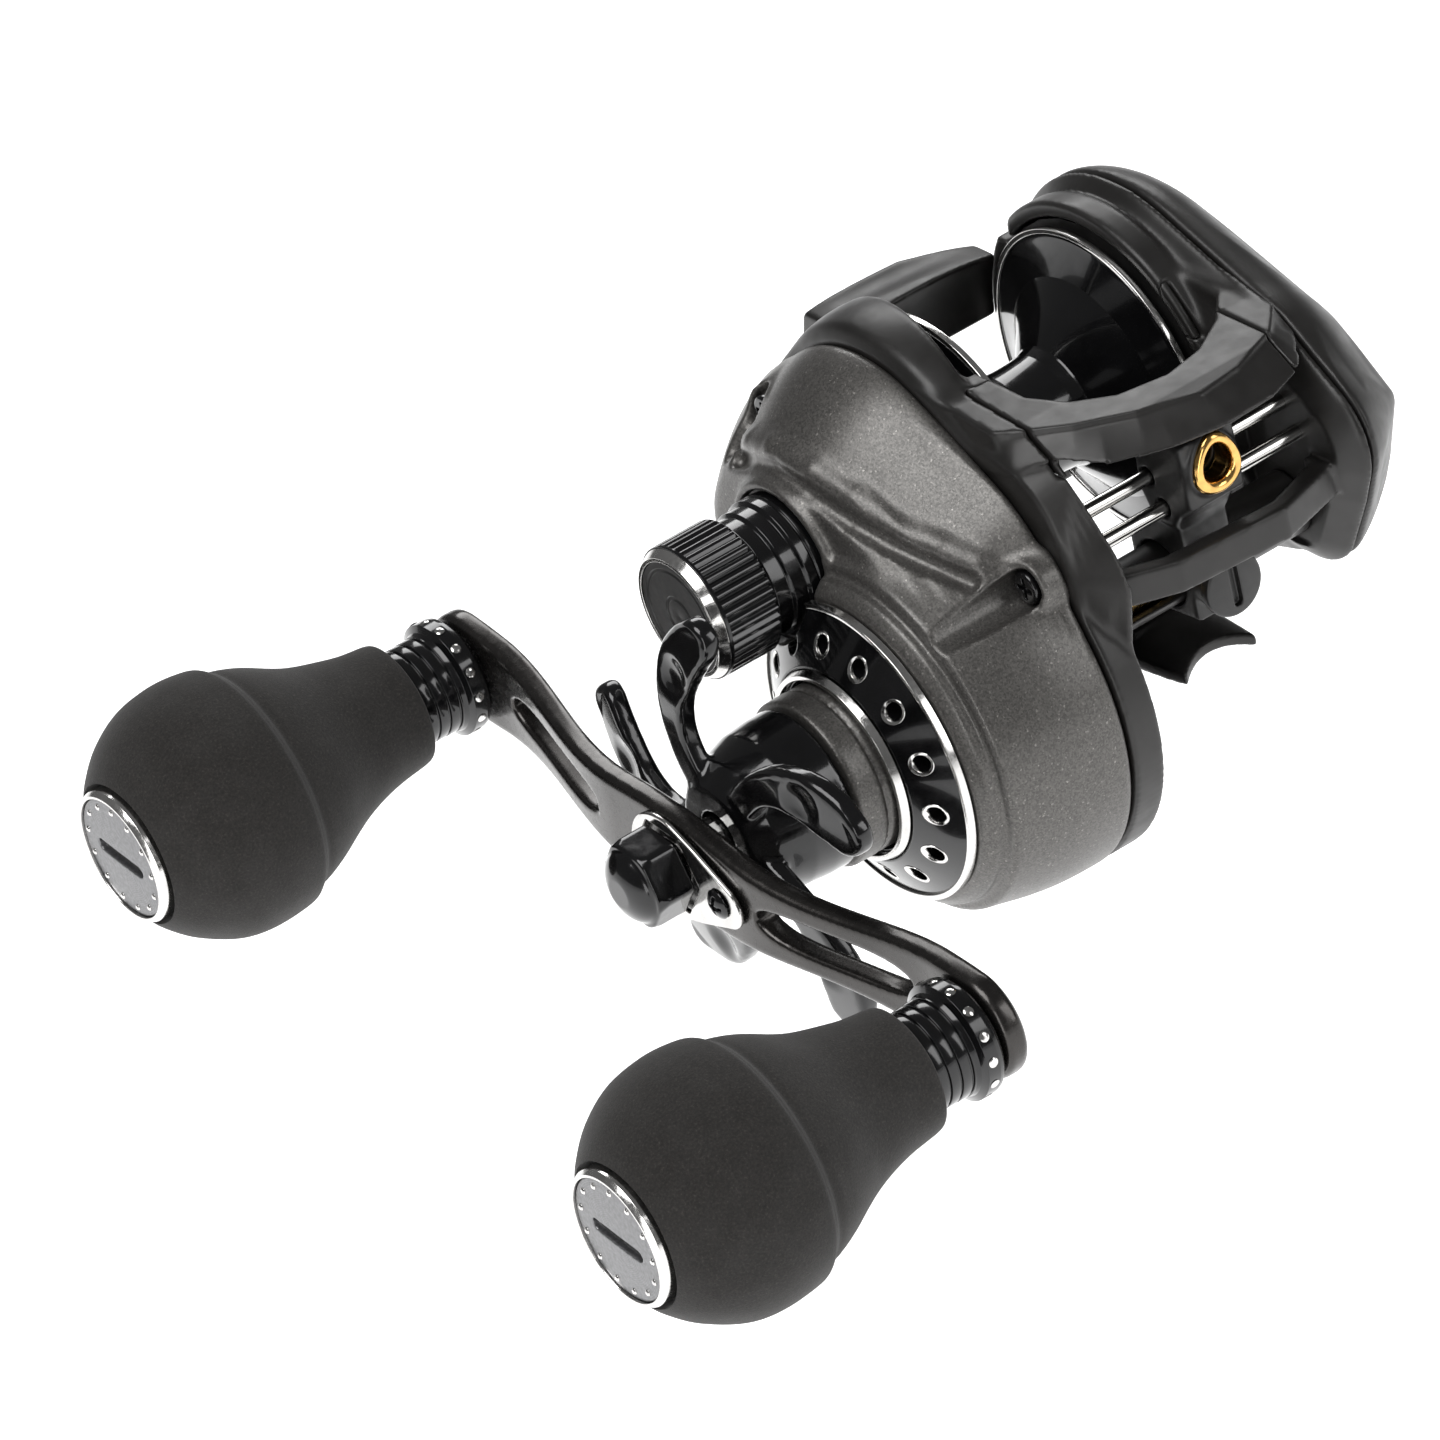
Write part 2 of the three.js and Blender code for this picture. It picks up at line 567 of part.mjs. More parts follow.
// ---- thumb bar ----------------------------------------------------------------------------
place(reel, 'thumb_bar', join([
  at(SPOOL, plateX(sector(0, 0, ...THUMB_RADII, ...THUMB_ANGLES), -10.4, RIM_IN - GAP)),
  block(-20.6, -10.3, 20.4, 21.3, 22.6, 24.4),
  block(-20.6, -19.6, 7, 21.3, 21.8, 24.4),
]), blackPaint);

// ---- drive shaft, drag and gears ----------------------------------------------------------
const SHAFT = 2.7;
const WORM_GEARS_X = [-20.9, -19.6];
place(driveLine, 'drive_shaft', join([
  turned([[-71.4, 0], [-71.4, 2.4], [-66.8, 2.4], [-66.8, SHAFT], [-24.9, SHAFT], [-24.9, 5.2],
    [-23.4, 5.2], [-23.4, 4.2], [-20, 4.2], [-20, 2.7], [-16, 2.7], [-16, 0]], 24),
]), steel);
const meshPhase = Math.atan2(SPOOL.z - DRIVE.z, SPOOL.y - DRIVE.y);
place(driveLine, 'main_gear', cut(join([
  plateX(gearOutline(MAIN_TEETH, GEAR_MODULE, meshPhase), -28.6, -25.2),
  tube(-30.2, -28.5, 17, 13.6, 40),
]), [rod(-31, -24, SHAFT + GAP)]), brass);
place(driveLine, 'drag_washers', tube(-30.4, -28.9, 13.2, SHAFT + GAP, 28), carbon);
place(driveLine, 'pressure_plate', tube(-31.8, -30.7, 12.8, SHAFT + GAP, 28), steel);
place(driveLine, 'one_way_sleeve', tube(-47.2, -32.1, 5.9, SHAFT + GAP), steel);
const ratchetTeeth = 12;
place(driveLine, 'ratchet_wheel', cut(plateX(Array.from({ length: ratchetTeeth }, (_, i) => {
  const a = 2 * Math.PI * i / ratchetTeeth;
  return [[12, a], [10.4, a + 0.06]].map(([r, t]) => [r * Math.cos(t), r * Math.sin(t)]);
}).flat(), -23.1, -21.9), [rod(-24, -20, 4.5)]), steel);
place(driveLine, 'worm_drive_gear', cut(
  plateX(gearOutline(WORM_DRIVE_TEETH, WORM_MODULE,
    Math.atan2(WORM.z - DRIVE.z, WORM.y - DRIVE.y)), ...WORM_GEARS_X), [rod(-24, -19, 4.5)],
), plasticBlack);
place(reel, 'anti_reverse_dog', at(DOG, cut(join([
  plateX(around([[0, 0, 2.2], [-3.4, 4, 1]], 10), -23.1, -21.9),
]), [rod(-24, -20, 1.3, 10)])), steel);

// ---- worm shaft and line carriage ---------------------------------------------------------
place(wormLine, 'worm_shaft', turned([[-21.4, 0], [-21.4, 1.5], [-14.6, 1.5], [-14.6, 2.3],
  [14.2, 2.3], [14.2, 1.5], [17, 1.5], [17, 0]], 20), brass);
place(wormLine, 'worm_gear', cut(
  plateX(gearOutline(WORM_GEAR_TEETH, WORM_MODULE,
    Math.atan2(DRIVE.z - WORM.z, DRIVE.y - WORM.y) + Math.PI / WORM_GEAR_TEETH), ...WORM_GEARS_X),
  [rod(-24, -19, 1.8, 10)],
), plasticBlack);
place(wormLine, 'worm_tube', cut(join([
  rod(-18.9, RING_IN + 1.7, 3.2),
  rod(PLATE_IN + GAP, RING_IN - GAP, 3.9),
]), [rod(-15, RING_IN - 1, 2.7), rod(-20, 20, 1.8), block(-13.6, 13.2, -5, 0, -1.6, 1.6)]),
blackPaint);
for (const [name, axis] of Object.entries({ rear: REAR_ROD, front: FRONT_ROD })) {
  place(axisGroup(axis), `guide_rod_${name}`, rod(PLATE_IN - 1.8, RING_IN + 1.8, 0.95, 10), steel);
}

const GUIDE = { x: -0.2, z: 29.2 };
const CARRIAGE_HALF = 4;
const slotOval = (halfWidth, halfHeight, count = 24) => Array.from({ length: count }, (_, i) => {
  const angle = 2 * Math.PI * i / count;
  const narrowing = 1 - 0.22 * Math.sin(angle);
  return [GUIDE.x + halfWidth * narrowing * Math.cos(angle), GUIDE.z + halfHeight * Math.sin(angle)];
});

function buildCarriage() {
  const [x0, x1] = [GUIDE.x - CARRIAGE_HALF, GUIDE.x + CARRIAGE_HALF];
  const body = join([
    plateX([[-36.6, 24.4], [-36.6, 32.6], [-34, 32.9], [-27.4, 32.4], [-26.8, 24.5], [-28.6, 20.5],
      [-32.6, 20.5], [-33.6, 22]], x0, x1),
    plateX([[-32.7, 8], [-32.7, 21], [-28.6, 21], [-22, 17], [-21.8, 9], [-25, 7.4]],
      x0 + 0.6, x1 - 0.6),
    rodY(GUIDE.x, WORM.z, -34.4, -31, 3.2),
  ]);
  return cut(body, [
    at(WORM, rod(-10, 10, 4.2, 20)),
    ...[REAR_ROD, FRONT_ROD].map((axis) => at(axis, rod(-10, 10, 1.25, 10))),
    plateY(slotOval(2.55, 3.1), -40, -34.2),
    plateY(slotOval(1.8, 1.9), -40, -20),
    rodY(GUIDE.x, WORM.z, -36, -29, 1.7, 10),
  ]);
}

place(reel, 'line_carriage', buildCarriage(), plasticBlack);
place(reel, 'line_guide', plateY(slotOval(3.2, 3.7), -38.2, -36.9, [slotOval(1.9, 2.4)])
  .add(plateY(slotOval(2.25, 2.8), -37, -34.6, [slotOval(1.9, 2.4)])), gold);
place(reel, 'guide_pawl', rodY(GUIDE.x, WORM.z, -34.2, -29.7, 1.35, 10), brass);
place(reel, 'pawl_cap', cut(rodY(GUIDE.x, WORM.z, -36.4, -34.7, 3.9, 20),
  [block(GUIDE.x - 0.6, GUIDE.x + 0.6, -37, -35.7, WORM.z - 3, WORM.z + 3)]), plasticBlack);

// ---- palm side ----------------------------------------------------------------------------
function buildPalmCover() {
  const outer = loft([
    { x: PALM_SEAM, circles: palmSide(23, 17.6, 18) },
    { x: 21.5, circles: palmSide(22.4, 17.4, 17.2) },
    { x: 25.4, circles: palmSide(19.6, 15.2, 14) },
    { x: PALM_FACE, circles: palmSide(14.5, 10.5, 9) },
  ], PALM_CENTRE, 28);
  const inner = loft([
    { x: PALM_SEAM - 1, circles: palmSide(21.4, 16, 16.4) },
    { x: 21, circles: palmSide(20.8, 15.8, 15.6) },
    { x: 24.6, circles: palmSide(17.8, 13.4, 12.2) },
    { x: PALM_FACE - 1.7, circles: palmSide(12.8, 8.8, 7.4) },
  ], PALM_CENTRE, 28);
  return cut(outer, [inner, at(SPOOL, rod(20, 40, 3.4))]);
}

place(reel, 'palm_side_cover', buildPalmCover(), blackPaint);
place(spoolLine, 'brake_plate', join([
  cut(rod(12.9, 16.8, BORE_R - GAP, 28), [rod(12, 18, 5.3), rod(14, 18, 17)]),
  tube(13, 17.2, 7, 5.3),
  tube(10, 13.2, 11.2, 9.4),
]), plasticBlack);
place(spoolLine, 'brake_magnets', tube(10.4, 12.5, 9.1, 6.4, 24), magnetGrey);
place(spoolLine, 'brake_dial', join([
  turned([[PALM_FACE + GAP, 0], [PALM_FACE + GAP, 8.4], [PALM_FACE + 1.6, 8], [PALM_FACE + 1.6, 0]], 28),
  rod(22, PALM_FACE + 0.5, 3, 24),
  block(PALM_FACE + 1, PALM_FACE + 2.6, -6.6, 6.6, -0.9, 0.9),
  rod(21, 23.6, 8, 24),
]), glossBlack);

// ---- handle -------------------------------------------------------------------------------
const handle = axisGroup(DRIVE);
handle.rotation.x = HANDLE_TILT;

const KNOB_SIDES = { rear: ARM_LENGTH / 2, front: -ARM_LENGTH / 2 };

// How far the arm has come in towards the reel at a distance from its middle.
const armBend = (reach) => ARM_BEND * THREE.MathUtils.smoothstep(reach, 11, 41);

// Half-width of the arm, waisted between its hub and its ends.
const armHalf = (reach) => 5.7 + 0.7 * Math.cos(4 * Math.PI * reach / ARM_LENGTH);

function buildHandleArm() {
  const half = ARM_LENGTH / 2;
  const tip = 6.4;
  const reaches = Array.from({ length: 13 }, (_, i) => half * i / 12);
  const edge = [...reaches.slice(1).reverse().map((y) => -y), ...reaches];
  const end = (side) => Array.from({ length: 7 }, (_, i) => {
    const angle = side * Math.PI * (i + 1) / 8;
    return [side * (half + tip * Math.sin(Math.abs(angle))), side * tip * Math.cos(angle)];
  });
  const outline = [
    ...edge.map((y) => [y, armHalf(Math.abs(y))]), ...end(1),
    ...[...edge].reverse().map((y) => [y, -armHalf(Math.abs(y))]), ...end(-1),
  ];
  const slots = [-1, 1].map((side) => {
    const along = Array.from({ length: 8 }, (_, i) => 15 + 22 * i / 7);
    const width = (y) => 2.1 * Math.sqrt(Math.max(0.02, 1 - ((y - 26) / 11.2) ** 4));
    return [...along.map((y) => [side * y, width(y)]),
      ...[...along].reverse().map((y) => [side * y, -width(y)])];
  });
  const stations = [-56, -41, -36, -31, -26, -21, -16, -11, 11, 16, 21, 26, 31, 36, 41, 56];
  const face = stations.map((y) => [ARM_OUT + armBend(Math.abs(y)), y]);
  const profile = [...face, ...[...face].reverse().map(([x, y]) => [x + ARM_THICK, y])];
  const bent = plateZ(profile, -8, 8).intersect(plateX(outline, -70, -50, slots));
  const bores = Object.values(KNOB_SIDES).map((y) => at({ y, z: 0 }, rod(-70, -50, 2.3, 10)));
  return cut(bent, [rod(-70, -60, 2.9), ...bores]);
}

place(handle, 'handle_arm', buildHandleArm(), gunmetal);
place(handle, 'handle_nut', cut(join([
  plateX(circle(0, 0, 5.6, 6), -71.6, ARM_OUT - 1.1),
  turned([[-74, 0], [-73.4, 2.6], [-71.5, 4.6], [-71.5, 0]], 24),
]), [rod(-71.9, -60, 2.7)]), glossBlack);
place(handle, 'nut_retainer', cut(plateX(around([[0, 0, 6.6], [-10.5, 0, 3]], 28),
  ARM_OUT - 0.9, ARM_OUT - GAP), [plateX(circle(0, 0, 5.95, 6), -70, -60),
  at({ y: -9.6, z: 0 }, rod(-70, -60, 1.1, 10))]), steel);
place(handle, 'retainer_screw', at({ y: -9.6, z: 0 }, join([
  rod(-68.2, ARM_OUT - 1.1, 2, 10),
  rod(-67.4, ARM_OUT - 0.1, 0.8, 10),
])), steel);

const ARM_END = ARM_OUT + ARM_BEND;

for (const [name, y] of Object.entries(KNOB_SIDES)) {
  const knob = axisGroup({ y, z: 0 }, handle);
  place(knob, `knob_spindle_${name}`, turned([[-106, 0], [-106, 1.6], [ARM_END - 0.1, 1.6],
    [ARM_END - 0.1, 2], [ARM_END + 3.2, 2], [ARM_END + 3.2, 3.2], [ARM_END + 3.9, 2.6],
    [ARM_END + 3.9, 0]], 20), steel);
  place(knob, `knob_bush_${name}`, tube(-104, -65.6, 2.7, 1.8, 20), brass);
  place(knob, `knob_core_${name}`, turned([
    [ARM_END - 0.7, 2], [ARM_END - 0.7, 6.6], [ARM_END - 1.6, 7.1], [ARM_END - 4.6, 6],
    [-70.3, 5.6], [-70.3, 3.7], [-104.6, 3.7], [-104.6, 2.9], [-65, 2.9], [-65, 2],
  ], 20), glossBlack);
  place(knob, `knob_grip_${name}`, turned([
    [-70.7, 4], [-70.7, 7.6], [-75.5, 8.4], [-81, 10], [-86.5, 12.6], [-90.6, 14.2],
    [-92, 15.2], [-96.5, KNOB_R], [-101, 14.6], [-105, 12.4], [-107.6, 10], [-108.6, 8.9],
    [-106.6, 8.7], [-106.6, 4],
  ], 24), foam);
  place(knob, `knob_cap_${name}`, cut(turned([[-106.9, 0], [-106.9, 8.3], [-109.2, 8.3],
    [KNOB_END, 7.8], [KNOB_END, 0]], 28), [block(-111, -109, -4.4, 4.4, -0.8, 0.8)]), steel);
}

// ---- star drag ----------------------------------------------------------------------------
const STAR_X = [-59.6, -56.4];
const STAR_ARMS = 5;
function buildStar() {
  const hub = turned([[-60, 3.2], [-60, 6.4], [-57, 8.4], [-53.4, 9.6], [-47.6, 9.9], [-47.6, 3.2]], 28);
  const centreLine = (t) => {
    const [reach, turn] = [7 + 18.5 * t, 0.5 * t * t];
    return [reach * Math.cos(turn), reach * Math.sin(turn)];
  };
  const steps = 6;
  const width = (t) => 2.1 + 1.5 * THREE.MathUtils.smoothstep(t, 0.35, 0.9);
  const left = [];
  const right = [];
  for (let i = 0; i <= steps; i += 1) {
    const t = i / steps;
    const [a, b] = [centreLine(t), centreLine(t + 0.01)];
    const length = Math.hypot(b[0] - a[0], b[1] - a[1]);
    const [ny, nz] = [-(b[1] - a[1]) / length, (b[0] - a[0]) / length];
    const round = t > 0.95 ? 0.55 : 1;
    left.push([a[0] + ny * width(t) * round, a[1] + nz * width(t) * round]);
    right.push([a[0] - ny * width(t) * round, a[1] - nz * width(t) * round]);
  }
  const arm = plateX([...right, ...left.reverse()], ...STAR_X);
  const arms = Array.from({ length: STAR_ARMS }, (_, i) => arm.rotate([360 * i / STAR_ARMS + 20, 0, 0]));
  return cut(join([hub, ...arms]), [rod(-70, -40, 3.2)]);
}

place(handle, 'star_drag', buildStar(), glossBlack);

export default reel;
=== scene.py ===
# Low-profile baitcasting reel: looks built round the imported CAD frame.
# Shapes are worked out in millimetres in the row frame and written to meshes in metres.
import math

import bpy
import numpy as np
from mathutils import Matrix, Vector


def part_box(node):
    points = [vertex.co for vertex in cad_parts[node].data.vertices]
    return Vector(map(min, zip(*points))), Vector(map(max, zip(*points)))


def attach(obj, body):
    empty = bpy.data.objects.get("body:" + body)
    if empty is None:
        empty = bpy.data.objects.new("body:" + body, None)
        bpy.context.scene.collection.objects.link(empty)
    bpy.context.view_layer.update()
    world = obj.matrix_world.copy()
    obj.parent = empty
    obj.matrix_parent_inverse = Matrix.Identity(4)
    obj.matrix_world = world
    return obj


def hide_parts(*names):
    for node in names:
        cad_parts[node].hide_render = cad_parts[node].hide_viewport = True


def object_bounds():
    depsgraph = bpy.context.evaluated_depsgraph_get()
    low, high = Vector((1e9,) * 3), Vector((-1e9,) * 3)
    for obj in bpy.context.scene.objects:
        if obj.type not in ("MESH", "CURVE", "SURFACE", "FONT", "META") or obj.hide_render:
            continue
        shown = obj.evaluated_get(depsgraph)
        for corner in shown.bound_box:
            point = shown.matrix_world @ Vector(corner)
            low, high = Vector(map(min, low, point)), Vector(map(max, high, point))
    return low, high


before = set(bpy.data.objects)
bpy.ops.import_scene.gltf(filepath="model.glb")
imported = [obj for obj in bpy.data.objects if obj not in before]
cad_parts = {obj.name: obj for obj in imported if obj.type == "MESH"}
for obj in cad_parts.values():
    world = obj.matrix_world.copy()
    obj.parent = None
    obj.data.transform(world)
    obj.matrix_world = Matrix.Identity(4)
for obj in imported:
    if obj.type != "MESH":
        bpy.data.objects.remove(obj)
CAD_LOW, CAD_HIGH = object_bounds()
COARSE = 1.0
MM = 0.001

# ---- places taken from the CAD frame -------------------------------------------------------
def centre_of(node):
    low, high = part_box(node)
    return [1000 * (a + b) / 2 for a, b in zip(low, high)]


SPOOL = tuple(centre_of("spool")[1:])
DRIVE = tuple(centre_of("drive_shaft")[1:])
WORM = tuple(centre_of("worm_shaft")[1:])
REAR_ROD = tuple(centre_of("guide_rod_rear")[1:])
FRONT_ROD = tuple(centre_of("guide_rod_front")[1:])
KNOBS = {side: tuple(centre_of(f"knob_cap_{side}")[1:]) for side in ("rear", "front")}
TILT = math.atan2(KNOBS["rear"][1] - KNOBS["front"][1], KNOBS["rear"][0] - KNOBS["front"][0])
HALF_ARM = math.hypot(KNOBS["rear"][0] - DRIVE[0], KNOBS["rear"][1] - DRIVE[1])
GUIDE_X = centre_of("line_guide")[0]
GUIDE_Z = 29.2


# ---- materials -----------------------------------------------------------------------------
class Nodes:
    """A Principled material with helpers for object-space patterns."""

    def __init__(self, name, base, metallic, roughness, **extra):
        self.material = bpy.data.materials.new(name)
        self.material.use_nodes = True
        self.tree = self.material.node_tree
        self.shader = self.tree.nodes["Principled BSDF"]
        self.shader.inputs["Base Color"].default_value = (*base, 1)
        self.shader.inputs["Metallic"].default_value = metallic
        self.shader.inputs["Roughness"].default_value = roughness
        for socket, value in extra.items():
            self.shader.inputs[socket.replace("_", " ").title()].default_value = value
        self.place = self.tree.nodes.new("ShaderNodeTexCoord").outputs["Object"]
        self.normal = None

    def stretched(self, x, y, z):
        mapping = self.tree.nodes.new("ShaderNodeMapping")
        mapping.inputs["Scale"].default_value = (x, y, z)
        self.tree.links.new(self.place, mapping.inputs["Vector"])
        return mapping.outputs["Vector"]

    def noise(self, millimetres, detail=2.0, rough=0.5, vector=None):
        node = self.tree.nodes.new("ShaderNodeTexNoise")
        node.inputs["Scale"].default_value = 1000 / millimetres
        node.inputs["Detail"].default_value = detail
        node.inputs["Roughness"].default_value = rough
        self.tree.links.new(vector or self.place, node.inputs["Vector"])
        return node.outputs["Fac"]

    def cells(self, millimetres):
        node = self.tree.nodes.new("ShaderNodeTexVoronoi")
        node.inputs["Scale"].default_value = 1000 / millimetres
        self.tree.links.new(self.place, node.inputs["Vector"])
        return node.outputs["Color"]

    def rings(self, millimetres, centre):
        """Fine turning lines round an axis along X that passes through centre (y, z)."""
        mapping = self.tree.nodes.new("ShaderNodeMapping")
        mapping.inputs["Location"].default_value = (0, -centre[0] * MM, -centre[1] * MM)
        self.tree.links.new(self.place, mapping.inputs["Vector"])
        wave = self.tree.nodes.new("ShaderNodeTexWave")
        wave.wave_type = "RINGS"
        wave.rings_direction = "X"
        wave.inputs["Scale"].default_value = 1000 / millimetres / 20 * 6.28318
        self.tree.links.new(mapping.outputs["Vector"], wave.inputs["Vector"])
        return wave.outputs["Fac"]

    def ramp(self, value, stops):
        node = self.tree.nodes.new("ShaderNodeValToRGB")
        while len(node.color_ramp.elements) < len(stops):
            node.color_ramp.elements.new(0.5)
        for element, (position, colour) in zip(node.color_ramp.elements, stops):
            element.position = position
            element.color = (*colour, 1)
        self.tree.links.new(value, node.inputs["Fac"])
        return node.outputs["Color"]

    def spread(self, value, low, high, start=0.3, end=0.7):
        node = self.tree.nodes.new("ShaderNodeMapRange")
        for key, number in zip(("From Min", "From Max", "To Min", "To Max"), (start, end, low, high)):
            node.inputs[key].default_value = number
        self.tree.links.new(value, node.inputs["Value"])
        return node.outputs["Result"]

    def colour(self, value):
        self.tree.links.new(value, self.shader.inputs["Base Color"])

    def rough(self, value):
        self.tree.links.new(value, self.shader.inputs["Roughness"])

    def bump(self, value, strength, depth_mm):
        node = self.tree.nodes.new("ShaderNodeBump")
        node.inputs["Strength"].default_value = strength
        node.inputs["Distance"].default_value = depth_mm * MM
        self.tree.links.new(value, node.inputs["Height"])
        if self.normal:
            self.tree.links.new(self.normal, node.inputs["Normal"])
        self.normal = node.outputs["Normal"]
        self.tree.links.new(self.normal, self.shader.inputs["Normal"])


def tint(base, factor):
    return tuple(channel * factor for channel in base)


def graphite_paint():
    base = (0.098, 0.0935, 0.088)
    m = Nodes("graphite_paint", base, 0.62, 0.42, coat_weight=0.35, coat_roughness=0.28)
    flake = m.cells(0.2)
    m.colour(m.ramp(flake, [(0.15, tint(base, 0.66)), (0.55, base), (0.88, tint(base, 1.25)),
                            (0.97, tint(base, 2.6))]))
    m.rough(m.spread(m.noise(0.24), 0.34, 0.52))
    m.bump(flake, 0.16, 0.03)
    return m.material


def mottled(name, base, metallic, roughness, mottle, wear, grain, **extra):
    """A finish whose colour, roughness and surface each vary at a scale of their own.

    mottle: noise size and detail, then (position, factor) stops of the colour.
    wear: noise size, detail and noise roughness, then the lowest and the highest roughness.
    grain: noise size and detail, then the bump's strength and depth.
    """
    m = Nodes(name, base, metallic, roughness, **extra)
    size, detail, *stops = mottle
    m.colour(m.ramp(m.noise(size, detail), [(place, tint(base, factor)) for place, factor in stops]))
    size, detail, harsh, low, high = wear
    m.rough(m.spread(m.noise(size, detail, harsh), low, high))
    size, detail, strength, depth = grain
    m.bump(m.noise(size, detail), strength, depth)
    return m.material


def polished_steel(name="polished_steel", base=(0.66, 0.65, 0.635), pitch=0.35, axis=SPOOL, low=0.1):
    m = Nodes(name, base, 1.0, low + 0.06)
    m.colour(m.ramp(m.noise(3, 4), [(0.3, tint(base, 0.86)), (0.7, tint(base, 1.06))]))
    m.rough(m.spread(m.noise(0.5, 4), low, low + 0.13))
    m.bump(m.rings(pitch, axis), 0.05, 0.01)
    return m.material


def brushed_rods():
    base = (0.64, 0.63, 0.61)
    m = Nodes("polished_rods", base, 1.0, 0.14)
    fine = m.noise(1.0, 4, 0.6, m.stretched(0.06, 3, 3))
    m.colour(m.ramp(fine, [(0.3, tint(base, 0.82)), (0.7, tint(base, 1.08))]))
    m.rough(m.spread(fine, 0.09, 0.22))
    m.bump(fine, 0.04, 0.01)
    return m.material


def eva_foam():
    base = (0.0125, 0.011, 0.0098)
    m = Nodes("eva_foam", base, 0.0, 0.93, sheen_weight=0.12, sheen_roughness=0.5)
    grain = m.noise(0.28, 5, 0.72)
    m.colour(m.ramp(grain, [(0.36, tint(base, 0.45)), (0.5, base), (0.6, tint(base, 1.5)),
                            (0.7, tint(base, 3.2))]))
    m.rough(m.spread(m.noise(4, 4), 0.88, 1.0))
    m.bump(m.noise(3.2, 4, 0.6), 0.25, 0.12)
    m.bump(grain, 0.55, 0.07)
    return m.material


def carbon_fibre():
    base = (0.03, 0.03, 0.031)
    m = Nodes("carbon_fibre", base, 0.1, 0.5, coat_weight=0.2, coat_roughness=0.3)
    checker = m.tree.nodes.new("ShaderNodeTexChecker")
    checker.inputs["Scale"].default_value = 900
    m.tree.links.new(m.place, checker.inputs["Vector"])
    m.colour(m.ramp(checker.outputs["Fac"], [(0.2, tint(base, 0.5)), (0.8, tint(base, 1.7))]))
    m.rough(m.spread(m.noise(0.4, 3), 0.4, 0.6))
    m.bump(checker.outputs["Fac"], 0.2, 0.04)
    return m.material


def knob_cap_face(side):
    base = (0.2, 0.2, 0.205)
    m = Nodes(f"knob_cap_face_{side}", base, 0.9, 0.34)
    m.colour(m.ramp(m.noise(0.5, 4), [(0.3, tint(base, 0.82)), (0.7, tint(base, 1.2))]))
    m.rough(m.spread(m.rings(0.25, KNOBS[side]), 0.28, 0.42, 0, 1))
    m.bump(m.rings(0.25, KNOBS[side]), 0.12, 0.01)
    return m.material


MATERIALS = {
    "graphite_paint": graphite_paint(),
    "satin_black": mottled(
        "satin_black", (0.0145, 0.0135, 0.0128), 0.25, 0.42, (9, 3, (0.35, 0.85), (0.65, 1.2)),
        (2.4, 4, 0.5, 0.36, 0.47), (0.16, 2, 0.12, 0.02), coat_weight=0.12, coat_roughness=0.3),
    "gloss_black": mottled(
        "gloss_black", (0.0062, 0.0062, 0.0068), 0.45, 0.14, (6, 3, (0.35, 0.8), (0.7, 1.4)),
        (1.6, 5, 0.6, 0.1, 0.21), (0.35, 3, 0.04, 0.01), coat_weight=0.5, coat_roughness=0.05),
    "gunmetal": mottled(
        "gunmetal", (0.042, 0.039, 0.037), 0.85, 0.24, (5, 4, (0.3, 0.8), (0.7, 1.2)),
        (0.9, 5, 0.6, 0.19, 0.32), (0.3, 3, 0.05, 0.012), coat_weight=0.3, coat_roughness=0.1),
    "polished_steel": polished_steel(),
    "bright_rim": polished_steel("bright_rim", (0.74, 0.73, 0.715), 0.3, DRIVE, 0.09),
    "rods": brushed_rods(),
    "brass": mottled(
        "machined_brass", (0.58, 0.4, 0.15), 1.0, 0.26, (1.4, 5, (0.3, 0.6), (0.7, 1.15)),
        (0.5, 4, 0.5, 0.18, 0.4), (0.25, 3, 0.08, 0.02)),
    "gold_insert": mottled(
        "gold_insert", (0.83, 0.5, 0.16), 1.0, 0.15, (1.2, 3, (0.3, 0.78), (0.7, 1.08)),
        (0.4, 4, 0.5, 0.09, 0.24), (0.3, 2, 0.03, 0.01)),
    "eva_foam": eva_foam(),
    "black_plastic": mottled(
        "black_plastic", (0.0125, 0.012, 0.0118), 0.0, 0.36, (4, 3, (0.35, 0.8), (0.7, 1.3)),
        (1.1, 4, 0.5, 0.3, 0.46), (0.22, 2, 0.1, 0.02)),
    "carbon_fibre": carbon_fibre(),
    "magnet": mottled(
        "nickel", (0.42, 0.42, 0.44), 1.0, 0.24, (1.5, 4, (0.3, 0.8), (0.7, 1.1)),
        (0.6, 4, 0.5, 0.18, 0.34), (0.3, 2, 0.06, 0.01)),
    "knob_cap_rear": knob_cap_face("rear"),
    "knob_cap_front": knob_cap_face("front"),
}


# ---- pieces --------------------------------------------------------------------------------
def piece(name, points, faces, material, body, nodes=(), sharp=None):
    """A mesh object in the row frame that rides on a body and stands for CAD nodes."""
    mesh = bpy.data.meshes.new(name)
    mesh.from_pydata((np.asarray(points, float) * MM).tolist(), [], [list(f) for f in faces])
    mesh.validate()
    mesh.update()
    mesh.polygons.foreach_set("use_smooth", [True] * len(mesh.polygons))
    if sharp:
        mesh.set_sharp_from_angle(angle=math.radians(sharp))
    mesh.materials.append(MATERIALS[material])
    thing = bpy.data.objects.new(name, mesh)
    bpy.context.scene.collection.objects.link(thing)
    if sharp:
        thing.modifiers.new("even_normals", "WEIGHTED_NORMAL").keep_sharp = True
    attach(thing, body)
    if nodes:
        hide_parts(*nodes)
    return thing


def handle_frame(points):
    """From the handle's own frame, arms along +Y, to the row frame."""
    p = np.array(points, float)
    c, s = math.cos(TILT), math.sin(TILT)
    return np.stack([p[:, 0], DRIVE[0] + c * p[:, 1] - s * p[:, 2],
                     DRIVE[1] + s * p[:, 1] + c * p[:, 2]], 1)


